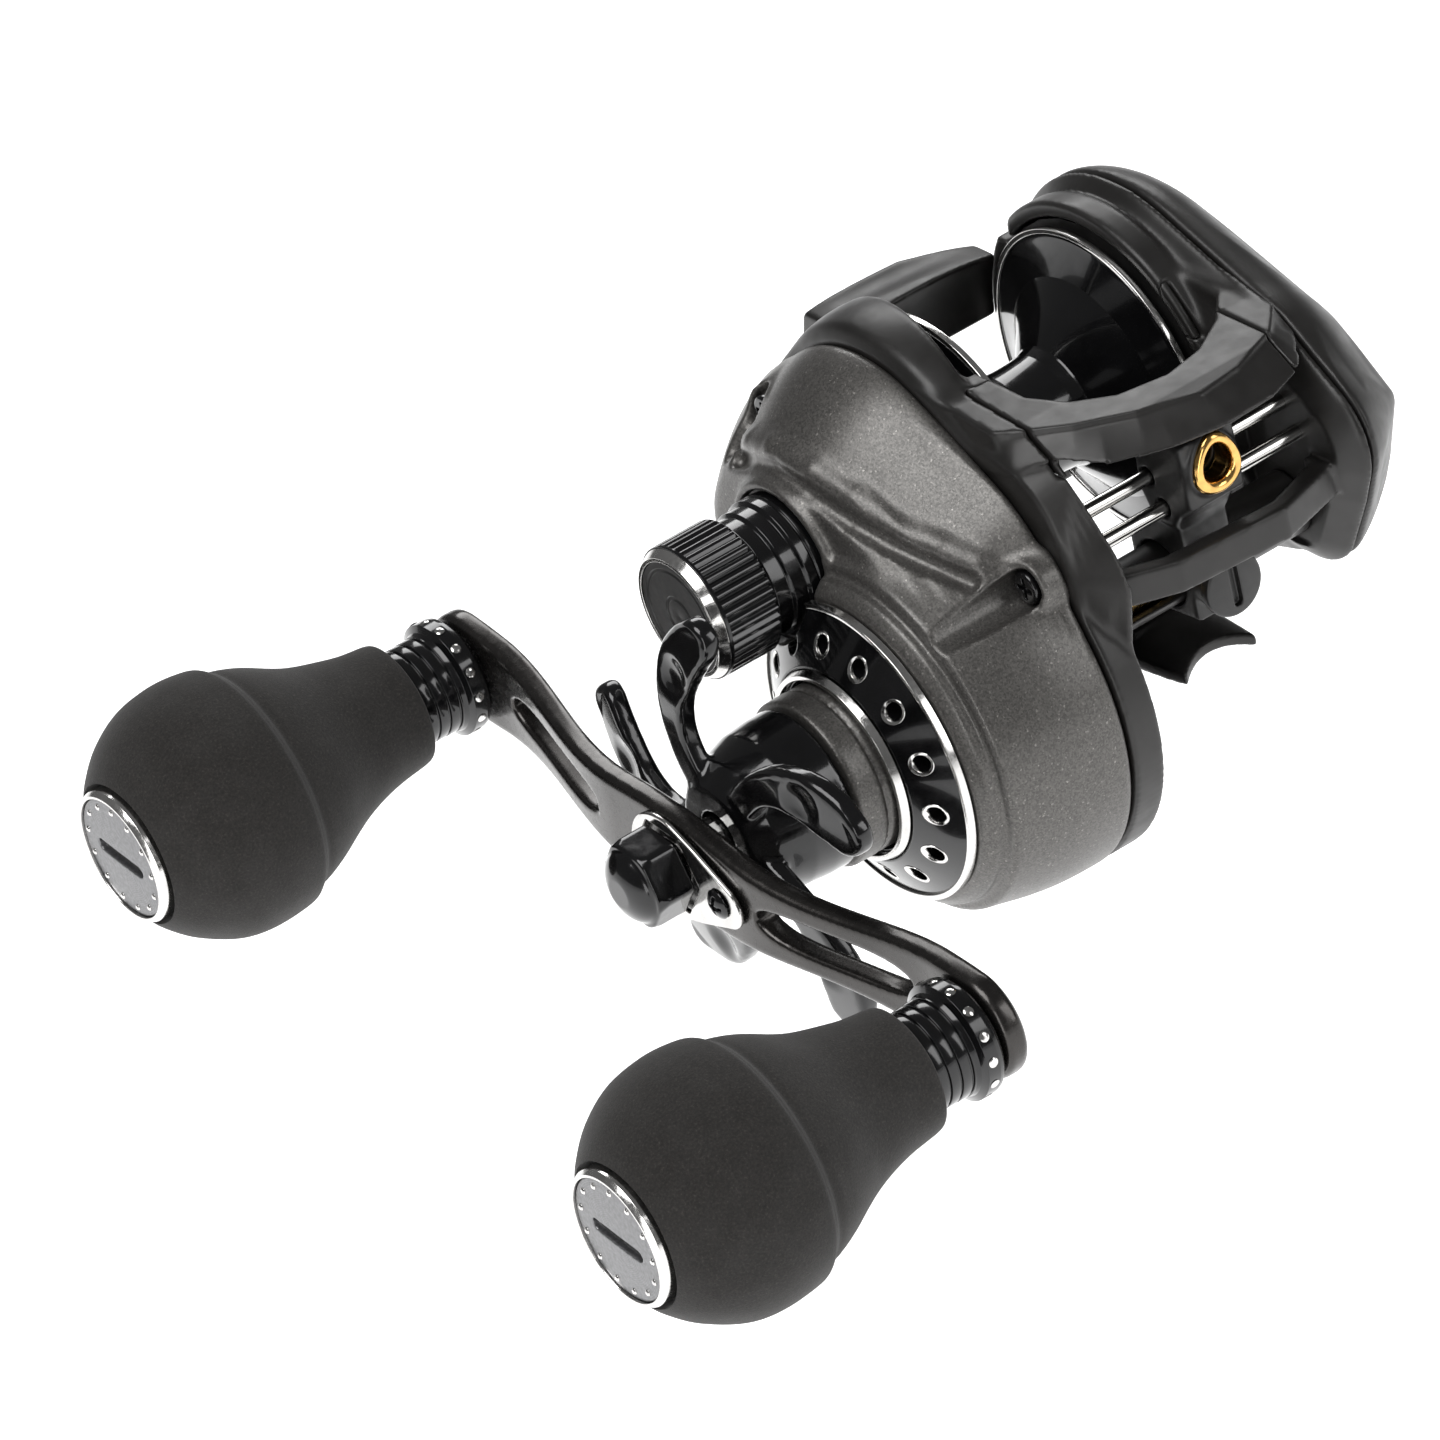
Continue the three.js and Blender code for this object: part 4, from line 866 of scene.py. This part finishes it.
# ---- level wind ------------------------------------------------------------------------------
for name, axis in (("rear", REAR_ROD), ("front", FRONT_ROD)):
    turned(f"guide_rod_{name}_polished", [(-17.8, 0), (-17.8, 0.95), (17.4, 0.95), (17.4, 0)],
           axis, 32, 0.15, "rods", "reel_body", [f"guide_rod_{name}"], sharp=35, closed=False)


WORM_R = 2.3
WORM_TURNS = 5
WORM_ENDS = (-14.0, 13.6)


def groove_depth(x, angle):
    """Depth of the crossing right and left hand grooves."""
    start, end = WORM_ENDS
    if abs(x + 0.2) > 12.6:
        return 0.0
    phase = 2 * math.pi * WORM_TURNS * (x - start) / (end - start)
    offs = [(angle - hand * phase + math.pi) % (2 * math.pi) - math.pi for hand in (1, -1)]
    return max(0.62 * math.exp(-(off / 0.55) ** 4) for off in offs)


def worm_surface():
    segments = 48
    stations = [(-21.4, 0), (-21.4, 1.5), (-14.6, 1.5), (-14.2, 2.2)]
    stations += [(x, WORM_R) for x in np.linspace(*WORM_ENDS, 230)]
    stations += [(13.8, 2.2), (14.2, 1.5), (17, 1.5), (17, 0)]
    points = []
    for x, r in stations:
        for k in range(segments):
            a = 2 * math.pi * k / segments
            reach = r - groove_depth(x, a)
            points.append((x, WORM[0] + reach * math.cos(a), WORM[1] + reach * math.sin(a)))
    return points, outward(points, strip(len(stations), segments))


piece("worm_thread", *worm_surface(), "brass", "worm", ["worm_shaft"], sharp=40)


def tube_field(g):
    r = about(g, WORM)
    tube = both(r - 3.9, slab(g.X, -15.7, 15.3), 0.4)
    tube = either(tube, both(r - 3.2, slab(g.X, -18.9, 17.3), 0.3))
    tube = less(tube, both(r - 2.7, slab(g.X, -15, 14.6)))
    tube = less(tube, r - 1.8)
    return less(tube, box(g, (-13.6, WORM[0] - 6, WORM[1] - 1.6), (13.2, WORM[0], WORM[1] + 1.6), 0.5), 0.3)


sculpted("worm_guard", *round_axis(-19, 17.5, WORM, 4.1), 0.2, tube_field,
         "satin_black", "reel_body", ["worm_tube"])


def eye(u, v, half_width, half_height):
    """A rounded teardrop, narrower at the top, as a field in the (x, z) plane."""
    q = np.clip(v / half_height, -1, 1)
    w = half_width * (1 - 0.2 * q)
    return (np.hypot(u / w, v / half_height) - 1) * min(half_width, half_height)


def carriage_field(g):
    x0, x1 = GUIDE_X - 4, GUIDE_X + 4
    upper = polygon(g.Y, g.Z, [(-36.6, 24.2), (-36.6, 32.4), (-34, 32.9), (-27.6, 32.2), (-26.8, 24.5),
                               (-28.6, 20.5), (-32.6, 20.5), (-34.0, 22.4)])
    body = both(upper, slab(g.X, x0, x1), 0.9)
    boss = both(eye(g.X - GUIDE_X, g.Z - GUIDE_Z, 3.5, 4.0), slab(g.Y, -37.3, -30), 0.4)
    body = either(body, boss, 0.7)
    lower = polygon(g.Y, g.Z, [(-32.7, 8), (-32.7, 21), (-28.6, 21), (-22, 17), (-21.8, 9), (-25, 7.4)])
    body = either(body, both(lower, slab(g.X, x0 + 0.6, x1 - 0.6), 0.7), 0.6)
    barrel = both(np.hypot(g.X - GUIDE_X, g.Z - WORM[1]) - 3.3, slab(g.Y, -34.4, -30), 0.3)
    body = either(body, barrel, 0.4)
    body = less(body, about(g, WORM) - 4.2)
    for rod in (REAR_ROD, FRONT_ROD):
        body = less(body, about(g, rod) - 1.2)
    body = less(body, both(eye(g.X - GUIDE_X, g.Z - GUIDE_Z, 2.6, 3.1), g.Y + 34.2))
    body = less(body, eye(g.X - GUIDE_X, g.Z - GUIDE_Z, 1.85, 2.0), 0.3)
    return less(body, both(np.hypot(g.X - GUIDE_X, g.Z - WORM[1]) - 1.7, slab(g.Y, -36, -29)))


sculpted("carriage_shell", (GUIDE_X - 4.2, -37.6, 7.2), (GUIDE_X + 4.2, -21.5, 33.5), 0.22, carriage_field,
         "black_plastic", "carriage", ["line_carriage"])


def guide_field(g):
    ring = np.hypot(eye(g.X - GUIDE_X, g.Z - GUIDE_Z, 2.58, 3.06), (g.Y + 37.3) * 0.8) - 0.66
    u, v = g.X - GUIDE_X, g.Z - GUIDE_Z
    sleeve = both(eye(u, v, 2.28, 2.8), -eye(u, v, 1.9, 2.4))
    return either(ring, both(sleeve, slab(g.Y, -37.2, -34.6)), 0.15)


sculpted("line_guide_insert", (GUIDE_X - 3.7, -38.3, GUIDE_Z - 4.2),
         (GUIDE_X + 3.7, -34.4, GUIDE_Z + 4.2), 0.11, guide_field, "gold_insert", "carriage", ["line_guide"])


def pawl_cap_field(g):
    r = np.hypot(g.X - GUIDE_X, g.Z - WORM[1])
    cap = both(r - 3.9, slab(g.Y, -36.4 + 0.02 * r ** 2, -34.7), 0.35)
    slot = np.hypot(g.X - GUIDE_X, np.maximum(np.abs(g.Z - WORM[1]) - 2.1, 0)) - 0.6
    return less(cap, both(slot, g.Y + 35.5), 0.12)


sculpted("pawl_cap_detail", (GUIDE_X - 4.1, -36.6, WORM[1] - 4.1), (GUIDE_X + 4.1, -34.5, WORM[1] + 4.1),
         0.13, pawl_cap_field, "black_plastic", "carriage", ["pawl_cap"])


# ---- thumb bar, foot and dial ------------------------------------------------------------------
def thumb_field(g):
    rs = about(g, SPOOL)
    angle = np.degrees(np.arctan2(g.Z - SPOOL[1], g.Y - SPOOL[0]))
    outer = np.interp(g.X, [-10, 3, 12], [28.7, 27.9, 24.8])
    bar = both(rs - outer, 20.9 - rs, 0.6)
    bar = both(bar, g.Z - (33.7 - 0.012 * g.X ** 2), 0.7)
    bar = both(bar, (4.2 - angle) * 0.42, 0.9)
    bar = both(bar, slab(g.X, -10.2, 12.1), 0.5)
    bar = less(bar, capsule(g, (-14, 24.2, 39.6), (14, 21.2, 39.6), 6.6), 0.7)
    link = either(box(g, (-20.6, 20.4, 22.6), (-10.0, 21.3, 24.4), 0.2),
                  box(g, (-20.6, 7, 21.8), (-19.6, 21.3, 24.4), 0.2))
    return either(bar, link, 0.2)


sculpted("thumb_bar_pad", (-20.8, 6.8, 21.5), (12.4, 29.4, 36), 0.24, thumb_field,
         "satin_black", "thumb_bar", ["thumb_bar"])


def foot_field(g):
    radius = 14.5
    arc = np.hypot(g.X, g.Z + radius - 0.25)
    plate = both(arc - radius - 1.35, radius - 0.1 - arc, 0.3)
    half = 6.1 - 0.9 * np.clip((np.abs(g.Y) - 18) / 12, 0, 1) ** 2
    plate = both(plate, np.abs(g.X) - half, 0.4)
    tip = 30.0 - 2.2 * np.clip(1 - (g.X / 5.2) ** 2, 0, 1)
    plate = both(plate, np.abs(g.Y) - tip, 0.4)
    for y in (16.6, -16.6):
        plate = either(plate, box(g, (-4, y - 2.6, 0.6), (4, y + 2.6, 1.6), 0.3), 0.5)
        r = np.hypot(g.X, g.Y - y)
        plate = less(less(plate, r - 1.3), both(r - 2.3, g.Z - 0.6))
    return plate


sculpted("foot_plate", (-6.4, -30.3, -1.6), (6.4, 30.3, 2.2), 0.24, foot_field, "satin_black", "reel_body",
         ["reel_foot"])


def foot_screw(y):
    points, faces = lathe([(0.1, 0), (0.1, 2), (0.4, 2), (0.75, 1), (4.6, 1), (4.6, 0)], (0, 0), 32, 0.08)
    return [(py, pz + y, px) for px, py, pz in points], [f[::-1] for f in faces]


for side, y in (("front", -16.6), ("rear", 16.6)):
    points, faces = foot_screw(y)
    piece(f"foot_screw_{side}_turned", points, outward(points, faces), "polished_steel", "reel_body",
          [f"foot_screw_{side}"], sharp=35)


def dial_field(g):
    r = about(g, SPOOL)
    angle = np.arctan2(g.Z - SPOOL[1], g.Y - SPOOL[0])
    dial = both(r - (8.35 - 0.18 * (np.cos(angle * 24) > 0.2)), slab(g.X, 28.5, 29.8), 0.25)
    dial = either(dial, both(r - 3, slab(g.X, 22, 29)))
    dial = either(dial, both(r - 8, slab(g.X, 21, 23.6), 0.3))
    grip = both(np.hypot(np.maximum(np.abs(g.Y - SPOOL[0]) - 5.6, 0), g.Z - SPOOL[1]) - 1.0,
                slab(g.X, 29, 30.8), 0.3)
    return either(dial, grip, 0.35)


sculpted("brake_dial_detail", *round_axis(20.8, 31, SPOOL, 8.6), 0.2, dial_field,
         "gloss_black", "dial", ["brake_dial"])


# ---- handle ------------------------------------------------------------------------------------
ARM_OUT, ARM_THICK, ARM_BEND = -66.2, 3.0, 4.9


def arm_field(g):
    reach = np.abs(g.Y)
    t = np.clip((reach - 11) / 30, 0, 1)
    bend = ARM_BEND * t * t * (3 - 2 * t)
    half = 5.7 + 0.75 * np.cos(4 * math.pi * np.minimum(reach, HALF_ARM) / (2 * HALF_ARM))
    flat = np.where(reach > HALF_ARM, np.hypot(reach - HALF_ARM, g.Z) - half, np.abs(g.Z) - half)
    arm = both(flat, slab(g.X - bend, ARM_OUT, ARM_OUT + ARM_THICK), 1.1)
    width = 2.15 * np.sqrt(np.clip(1 - ((reach - 26) / 11.4) ** 4, 0, 1))
    arm = less(arm, np.where(np.abs(reach - 26) < 11.4, np.abs(g.Z) - width, 1.5), 0.7)
    arm = less(arm, np.hypot(g.Y, g.Z) - 2.9)
    end = np.hypot(reach - HALF_ARM, g.Z)
    arm = less(arm, both(end - 4.4, g.X - bend - ARM_OUT - 0.35), 0.25)
    return less(arm, end - 2.3)


sculpted("handle_arm_shell", (-66.4, -54.2, -6.8), (-58.1, 54.2, 6.8), 0.26, arm_field, "gunmetal", "handle",
         ["handle_arm"], handle_frame)


def hexagon(g, across):
    reach = None
    for k in range(3):
        a = math.radians(60 * k + 30)
        side = np.abs(g.Y * math.cos(a) + g.Z * math.sin(a)) - across
        reach = side if reach is None else np.maximum(reach, side)
    return reach


def nut_field(g):
    r = np.hypot(g.Y, g.Z)
    nut = both(hexagon(g, 4.85), slab(g.X, -72.2, ARM_OUT - 1.1), 0.35)
    nut = both(nut, r - 5.45 + 0.28 * np.clip(-71 - g.X, 0, 3), 0.2)
    dome = both(np.sqrt((np.maximum(-71.6 - g.X, 0) * 1.75) ** 2 + r ** 2) - 4.6, slab(g.X, -74, -71))
    return less(either(nut, dome, 0.35), both(r - 2.7, slab(g.X, -71.9, -60)))


def retainer_field(g):
    plate = hull(g, [(0, 0, 6.7), (-10.5, 0, 2.9)], 96)
    plate = both(plate, slab(g.X, ARM_OUT - 0.95, ARM_OUT - 0.3), 0.25)
    return less(less(plate, hexagon(g, 5.15)), np.hypot(g.Y + 9.6, g.Z) - 1.1)


def retainer_screw_field(g):
    r = np.hypot(g.Y + 9.6, g.Z)
    dome = np.sqrt((g.X + 66.2) ** 2 * 1.5 + r ** 2) - 2.35
    head = both(dome, both(r - 2, slab(g.X, -68.2, ARM_OUT - 1.1)), 0.15)
    for a, b in ((g.Y + 9.6, g.Z), (g.Z, g.Y + 9.6)):
        head = less(head, both(both(np.abs(a) - 0.25, np.abs(b) - 1.2), g.X + 67.3))
    return either(head, both(r - 0.8, slab(g.X, -67.4, ARM_OUT - 0.1)))


sculpted("handle_nut_dome", (-74.1, -5.8, -5.8), (-67, 5.8, 5.8), 0.15, nut_field, "gloss_black", "handle",
         ["handle_nut"], handle_frame, 1)
sculpted("retainer_plate", (-67.3, -13.7, -6.9), (-66.3, 6.9, 6.9), 0.14, retainer_field, "polished_steel",
         "handle", ["nut_retainer"], handle_frame, 1)
sculpted("retainer_screw_head", (-68.3, -11.8, -2.2), (-66.1, -7.4, 2.2), 0.1, retainer_screw_field,
         "gloss_black", "handle", ["retainer_screw"], handle_frame, 1)


# ---- knobs -------------------------------------------------------------------------------------
def smoothed(points, steps=6):
    """A soft curve through points (Catmull-Rom)."""
    p = [np.array(q, float) for q in [points[0], *points, points[-1]]]
    out = []
    for a, b, c, d in zip(p, p[1:], p[2:], p[3:]):
        for k in range(steps):
            t = k / steps
            out.append(tuple(0.5 * (2 * b + (c - a) * t + (2 * a - 5 * b + 4 * c - d) * t ** 2
                                    + (3 * b - a - 3 * c + d) * t ** 3)))
    return out + [tuple(p[-1])]


FOAM = [(-70.7, 7.4), (-71.4, 7.75), (-75.5, 8.35), (-81, 9.9), (-86.2, 12.5), (-89.0, 13.6), (-90.4, 13.95),
        (-91.2, 14.6), (-92.4, 15.2), (-96.5, 15.5), (-100.6, 14.85), (-104.6, 12.8), (-107.2, 10.5),
        (-108.4, 8.95)]


def foam_swell(x, r, angle):
    if r < 7:
        return r
    lumps = math.sin(3 * angle + 0.31 * x) * math.sin(0.43 * x + 1.3) + 0.6 * math.sin(5 * angle - 0.2 * x)
    return r + 0.06 * lumps - 0.06


CORE = [(-62.0, 2.1), (-62.0, 6.5), (-62.5, 7.0), (-63.0, 7.1), (-64.6, 7.1), (-65.0, 6.3), (-65.5, 6.1),
        (-65.7, 6.1), (-65.75, 5.8), (-66.0, 5.8), (-66.05, 6.05), (-67.2, 6.0), (-67.25, 5.7), (-67.5, 5.7),
        (-67.55, 5.98), (-68.7, 5.95), (-68.75, 5.65), (-69.0, 5.65), (-69.05, 5.95), (-70.3, 5.95),
        (-70.3, 3.7), (-104.6, 3.7), (-104.6, 2.9), (-65, 2.9), (-65, 2.1)]
DIMPLES = 14
CAP_DOTS = 13


def dimples(spot):
    parts = []
    for k in range(DIMPLES):
        a = 2 * math.pi * k / DIMPLES
        points, faces = lathe([(-0.62, 0), (-0.6, 0.2), (-0.35, 0.45), (0, 0.6)], (0, 0), 14, 0.02)
        out = []
        for px, py, pz in points:
            radial = 7.16 - 0.22 * px
            out.append((-63.8 + py, spot[0] + radial * math.cos(a) - pz * math.sin(a),
                        spot[1] + radial * math.sin(a) + pz * math.cos(a)))
        parts.append((out, outward(out, faces)))
    return merged(*parts)


def cap_field(spot):
    def field(g):
        r = about(g, spot)
        face = both(r - 7.5, slab(g.X, -109.55 + 0.003 * r ** 2, -106.9), 0.2)
        u = (g.Y - spot[0]) * math.cos(TILT) + (g.Z - spot[1]) * math.sin(TILT)
        v = -(g.Y - spot[0]) * math.sin(TILT) + (g.Z - spot[1]) * math.cos(TILT)
        slot = np.hypot(np.maximum(np.abs(u) - 3.7, 0), v) - 0.75
        return less(face, both(slot, g.X + 108.7), 0.15)
    return field


def cap_trim(spot):
    """The bright rim of a knob's end cap and its ring of small studs."""
    rim = [(-106.9, 7.55), (-106.9, 8.3), (-109.1, 8.3), (-109.7, 7.9), (-109.7, 7.55)]
    parts = [lathe(rim, spot, 96, 0.12, True)]
    for k in range(CAP_DOTS):
        a = 2 * math.pi * (k + 0.5) / CAP_DOTS
        stud = (spot[0] + 6.45 * math.cos(a), spot[1] + 6.45 * math.sin(a))
        parts.append(lathe([(-109.3, 0.42), (-109.5, 0.4), (-109.62, 0.25), (-109.66, 0)], stud, 12, 0.02))
    return merged(*parts)


for side, spot in KNOBS.items():
    body = f"{side}_knob"
    foam = smoothed(FOAM)
    grip = turned(f"knob_grip_{side}_foam", [*foam, (-106.7, 8.8), (-106.7, 4), (-70.7, 4)], spot, 120, 0.2,
                  "eva_foam", body, [f"knob_grip_{side}"], sharp=50, swell=foam_swell)
    turned(f"knob_core_{side}_turned", CORE, spot, 96, 0.08, "gloss_black", body, [f"knob_core_{side}"],
           sharp=35)
    piece(f"knob_dimples_{side}", *dimples(spot), "bright_rim", body, sharp=60)
    sculpted(f"knob_cap_{side}_face", *round_axis(-109.8, -106.7, spot, 7.7), 0.14, cap_field(spot),
             f"knob_cap_{side}", body, [f"knob_cap_{side}"], rounds=1)
    piece(f"knob_cap_{side}_rim", *cap_trim(spot), "bright_rim", body, sharp=40)


# ---- star drag ---------------------------------------------------------------------------------
STAR_ARMS = 5


STAR_TURN = -20.5
STAR_ROOT, STAR_REACH, STAR_BOW = 6, 18, 0.54
PADDLE = 0.78


def along_arm(t, turn):
    """Place, in the plane of the star, a share t of the way out along a curved arm."""
    reach, angle = STAR_ROOT + STAR_REACH * t, turn + STAR_BOW * t ** 2
    return reach * math.cos(angle), reach * math.sin(angle)


def star_field(g):
    r = np.hypot(g.Y, g.Z)
    hub_r = np.interp(g.X, [-60, -57.4, -53.4, -50.5, -47.6], [6.2, 8.2, 9.5, 9.8, 9.85])
    star = both(r - hub_r, slab(g.X, -60, -47.6), 0.35)
    lean = -58.2 + 2.1 * np.clip((r - 8) / 17, 0, 1) ** 2
    steps = 14
    for k in range(STAR_ARMS):
        turn = math.radians(360 * k / STAR_ARMS + STAR_TURN)
        spine = None
        for i in range(steps + 1):
            t = i / steps
            y, z = along_arm(t, turn)
            w = 1.9 + 1.35 * max(0.0, min(1.0, (t - 0.3) / 0.5)) ** 1.5 - 0.5 * max(0.0, (t - 0.9) / 0.1)
            ball = np.sqrt((g.Y - y) ** 2 + (g.Z - z) ** 2) - w
            spine = ball if spine is None else either(spine, ball, 0.8)
        arm = both(spine, np.abs(g.X - lean) - 1.25, 0.9)
        y, z = along_arm(PADDLE, turn)
        scoop = np.sqrt((g.Y - y) ** 2 * 0.35 + (g.Z - z) ** 2 * 0.35 + (g.X + 59.8) ** 2) - 2.05
        star = either(star, less(arm, scoop, 0.5), 0.9)
    return less(star, r - 3.2)


sculpted("star_drag_wheel", (-60.6, -27, -27), (-47.4, 27, 27), 0.28, star_field, "gloss_black", "star",
         ["star_drag"], handle_frame)

# ---- CAD nodes that stay: the mechanism inside --------------------------------------------------
KEPT = {
    "polished_steel": ["pinion_bearing", "palm_bearing", "tension_bearing", "shaft_bearing",
                       "one_way_bearing", "spool_shaft", "yoke_spring_upper", "yoke_spring_lower",
                       "drive_shaft", "pressure_plate", "one_way_sleeve", "ratchet_wheel",
                       "anti_reverse_dog", "knob_spindle_rear", "knob_spindle_front"],
    "brass": ["pinion_gear", "main_gear", "guide_pawl", "knob_bush_rear", "knob_bush_front"],
    "black_plastic": ["clutch_yoke", "worm_drive_gear", "worm_gear", "brake_plate"],
    "magnet": ["brake_rotor", "brake_magnets"],
    "carbon_fibre": ["drag_washers"],
}
for material, names in KEPT.items():
    for name in names:
        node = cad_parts[name]
        for holder in node.material_slots:
            holder.material = MATERIALS[material]


# ---- camera and stage ------------------------------------------------------------------------
CAMERA = (-0.474179, -0.766610, 0.525345)
RIGHT, UP, BACK = ((0.789798, -0.57786, -0.205661), (0.448951, 0.316164, 0.835753),
                   (-0.417926, -0.752408, 0.509136))
FOCAL = 9003.76 / 1440 * 36
ROOM_LIGHT = 0.13
FLOOR_GLOW = 0.8

camera = bpy.data.objects.new("camera", bpy.data.cameras.new("camera"))
bpy.context.scene.collection.objects.link(camera)
camera.data.sensor_width = 36
camera.data.lens = FOCAL
camera.data.clip_start = 0.05
camera.data.clip_end = 20
camera.matrix_world = Matrix.Translation(CAMERA) @ Matrix((RIGHT, UP, BACK)).transposed().to_4x4()
bpy.context.scene.camera = camera


def soft_light(name, towards, distance, size, power, colour=(1, 1, 1)):
    data = bpy.data.lights.new(name, "AREA")
    data.shape = "RECTANGLE"
    data.size, data.size_y = size
    data.energy = power
    data.color = colour
    lamp = bpy.data.objects.new(name, data)
    direction = Vector(towards).normalized()
    lamp.location = Vector((0, -0.012, 0.012)) + direction * distance
    lamp.rotation_mode = "QUATERNION"
    lamp.rotation_quaternion = direction.to_track_quat("Z", "Y")
    bpy.context.scene.collection.objects.link(lamp)


def stage():
    low = CAD_LOW.z - 0.06
    half = 4.0
    mesh = bpy.data.meshes.new("floor")
    mesh.from_pydata([(-half, -half, low), (half, -half, low), (half, half, low), (-half, half, low)],
                     [], [(0, 1, 2, 3)])
    floor = bpy.data.objects.new("floor", mesh)
    bpy.context.scene.collection.objects.link(floor)
    m = Nodes("floor_paint", (0.9, 0.9, 0.9), 0.0, 0.9)
    m.colour(m.ramp(m.noise(60, 2), [(0.3, (0.9, 0.9, 0.9)), (0.7, (0.92, 0.92, 0.92))]))
    m.shader.inputs["Emission Color"].default_value = (1, 1, 1, 1)
    m.shader.inputs["Emission Strength"].default_value = FLOOR_GLOW
    mesh.materials.append(m.material)
    world = bpy.data.worlds.new("studio")
    world.use_nodes = True
    backdrop = world.node_tree.nodes["Background"]
    backdrop.inputs["Color"].default_value = (1, 1, 1, 1)
    seen = world.node_tree.nodes.new("ShaderNodeLightPath").outputs["Is Camera Ray"]
    strength = world.node_tree.nodes.new("ShaderNodeMapRange")
    strength.inputs["To Min"].default_value = ROOM_LIGHT
    strength.inputs["To Max"].default_value = 1.0
    world.node_tree.links.new(seen, strength.inputs["Value"])
    world.node_tree.links.new(strength.outputs["Result"], backdrop.inputs["Strength"])
    bpy.context.scene.world = world
    bpy.context.scene.view_settings.view_transform = "Standard"


stage()
soft_light("key", (-0.5, -0.1, 1.0), 0.7, (0.45, 0.45), 3.6)
soft_light("side", (-1.0, -0.9, 0.25), 0.8, (0.2, 0.6), 1.3)
soft_light("front", (0.6, -1.0, 0.5), 0.8, (0.25, 0.5), 1.5)
soft_light("back", (0.7, 0.9, 0.7), 0.8, (0.5, 0.3), 2.2)
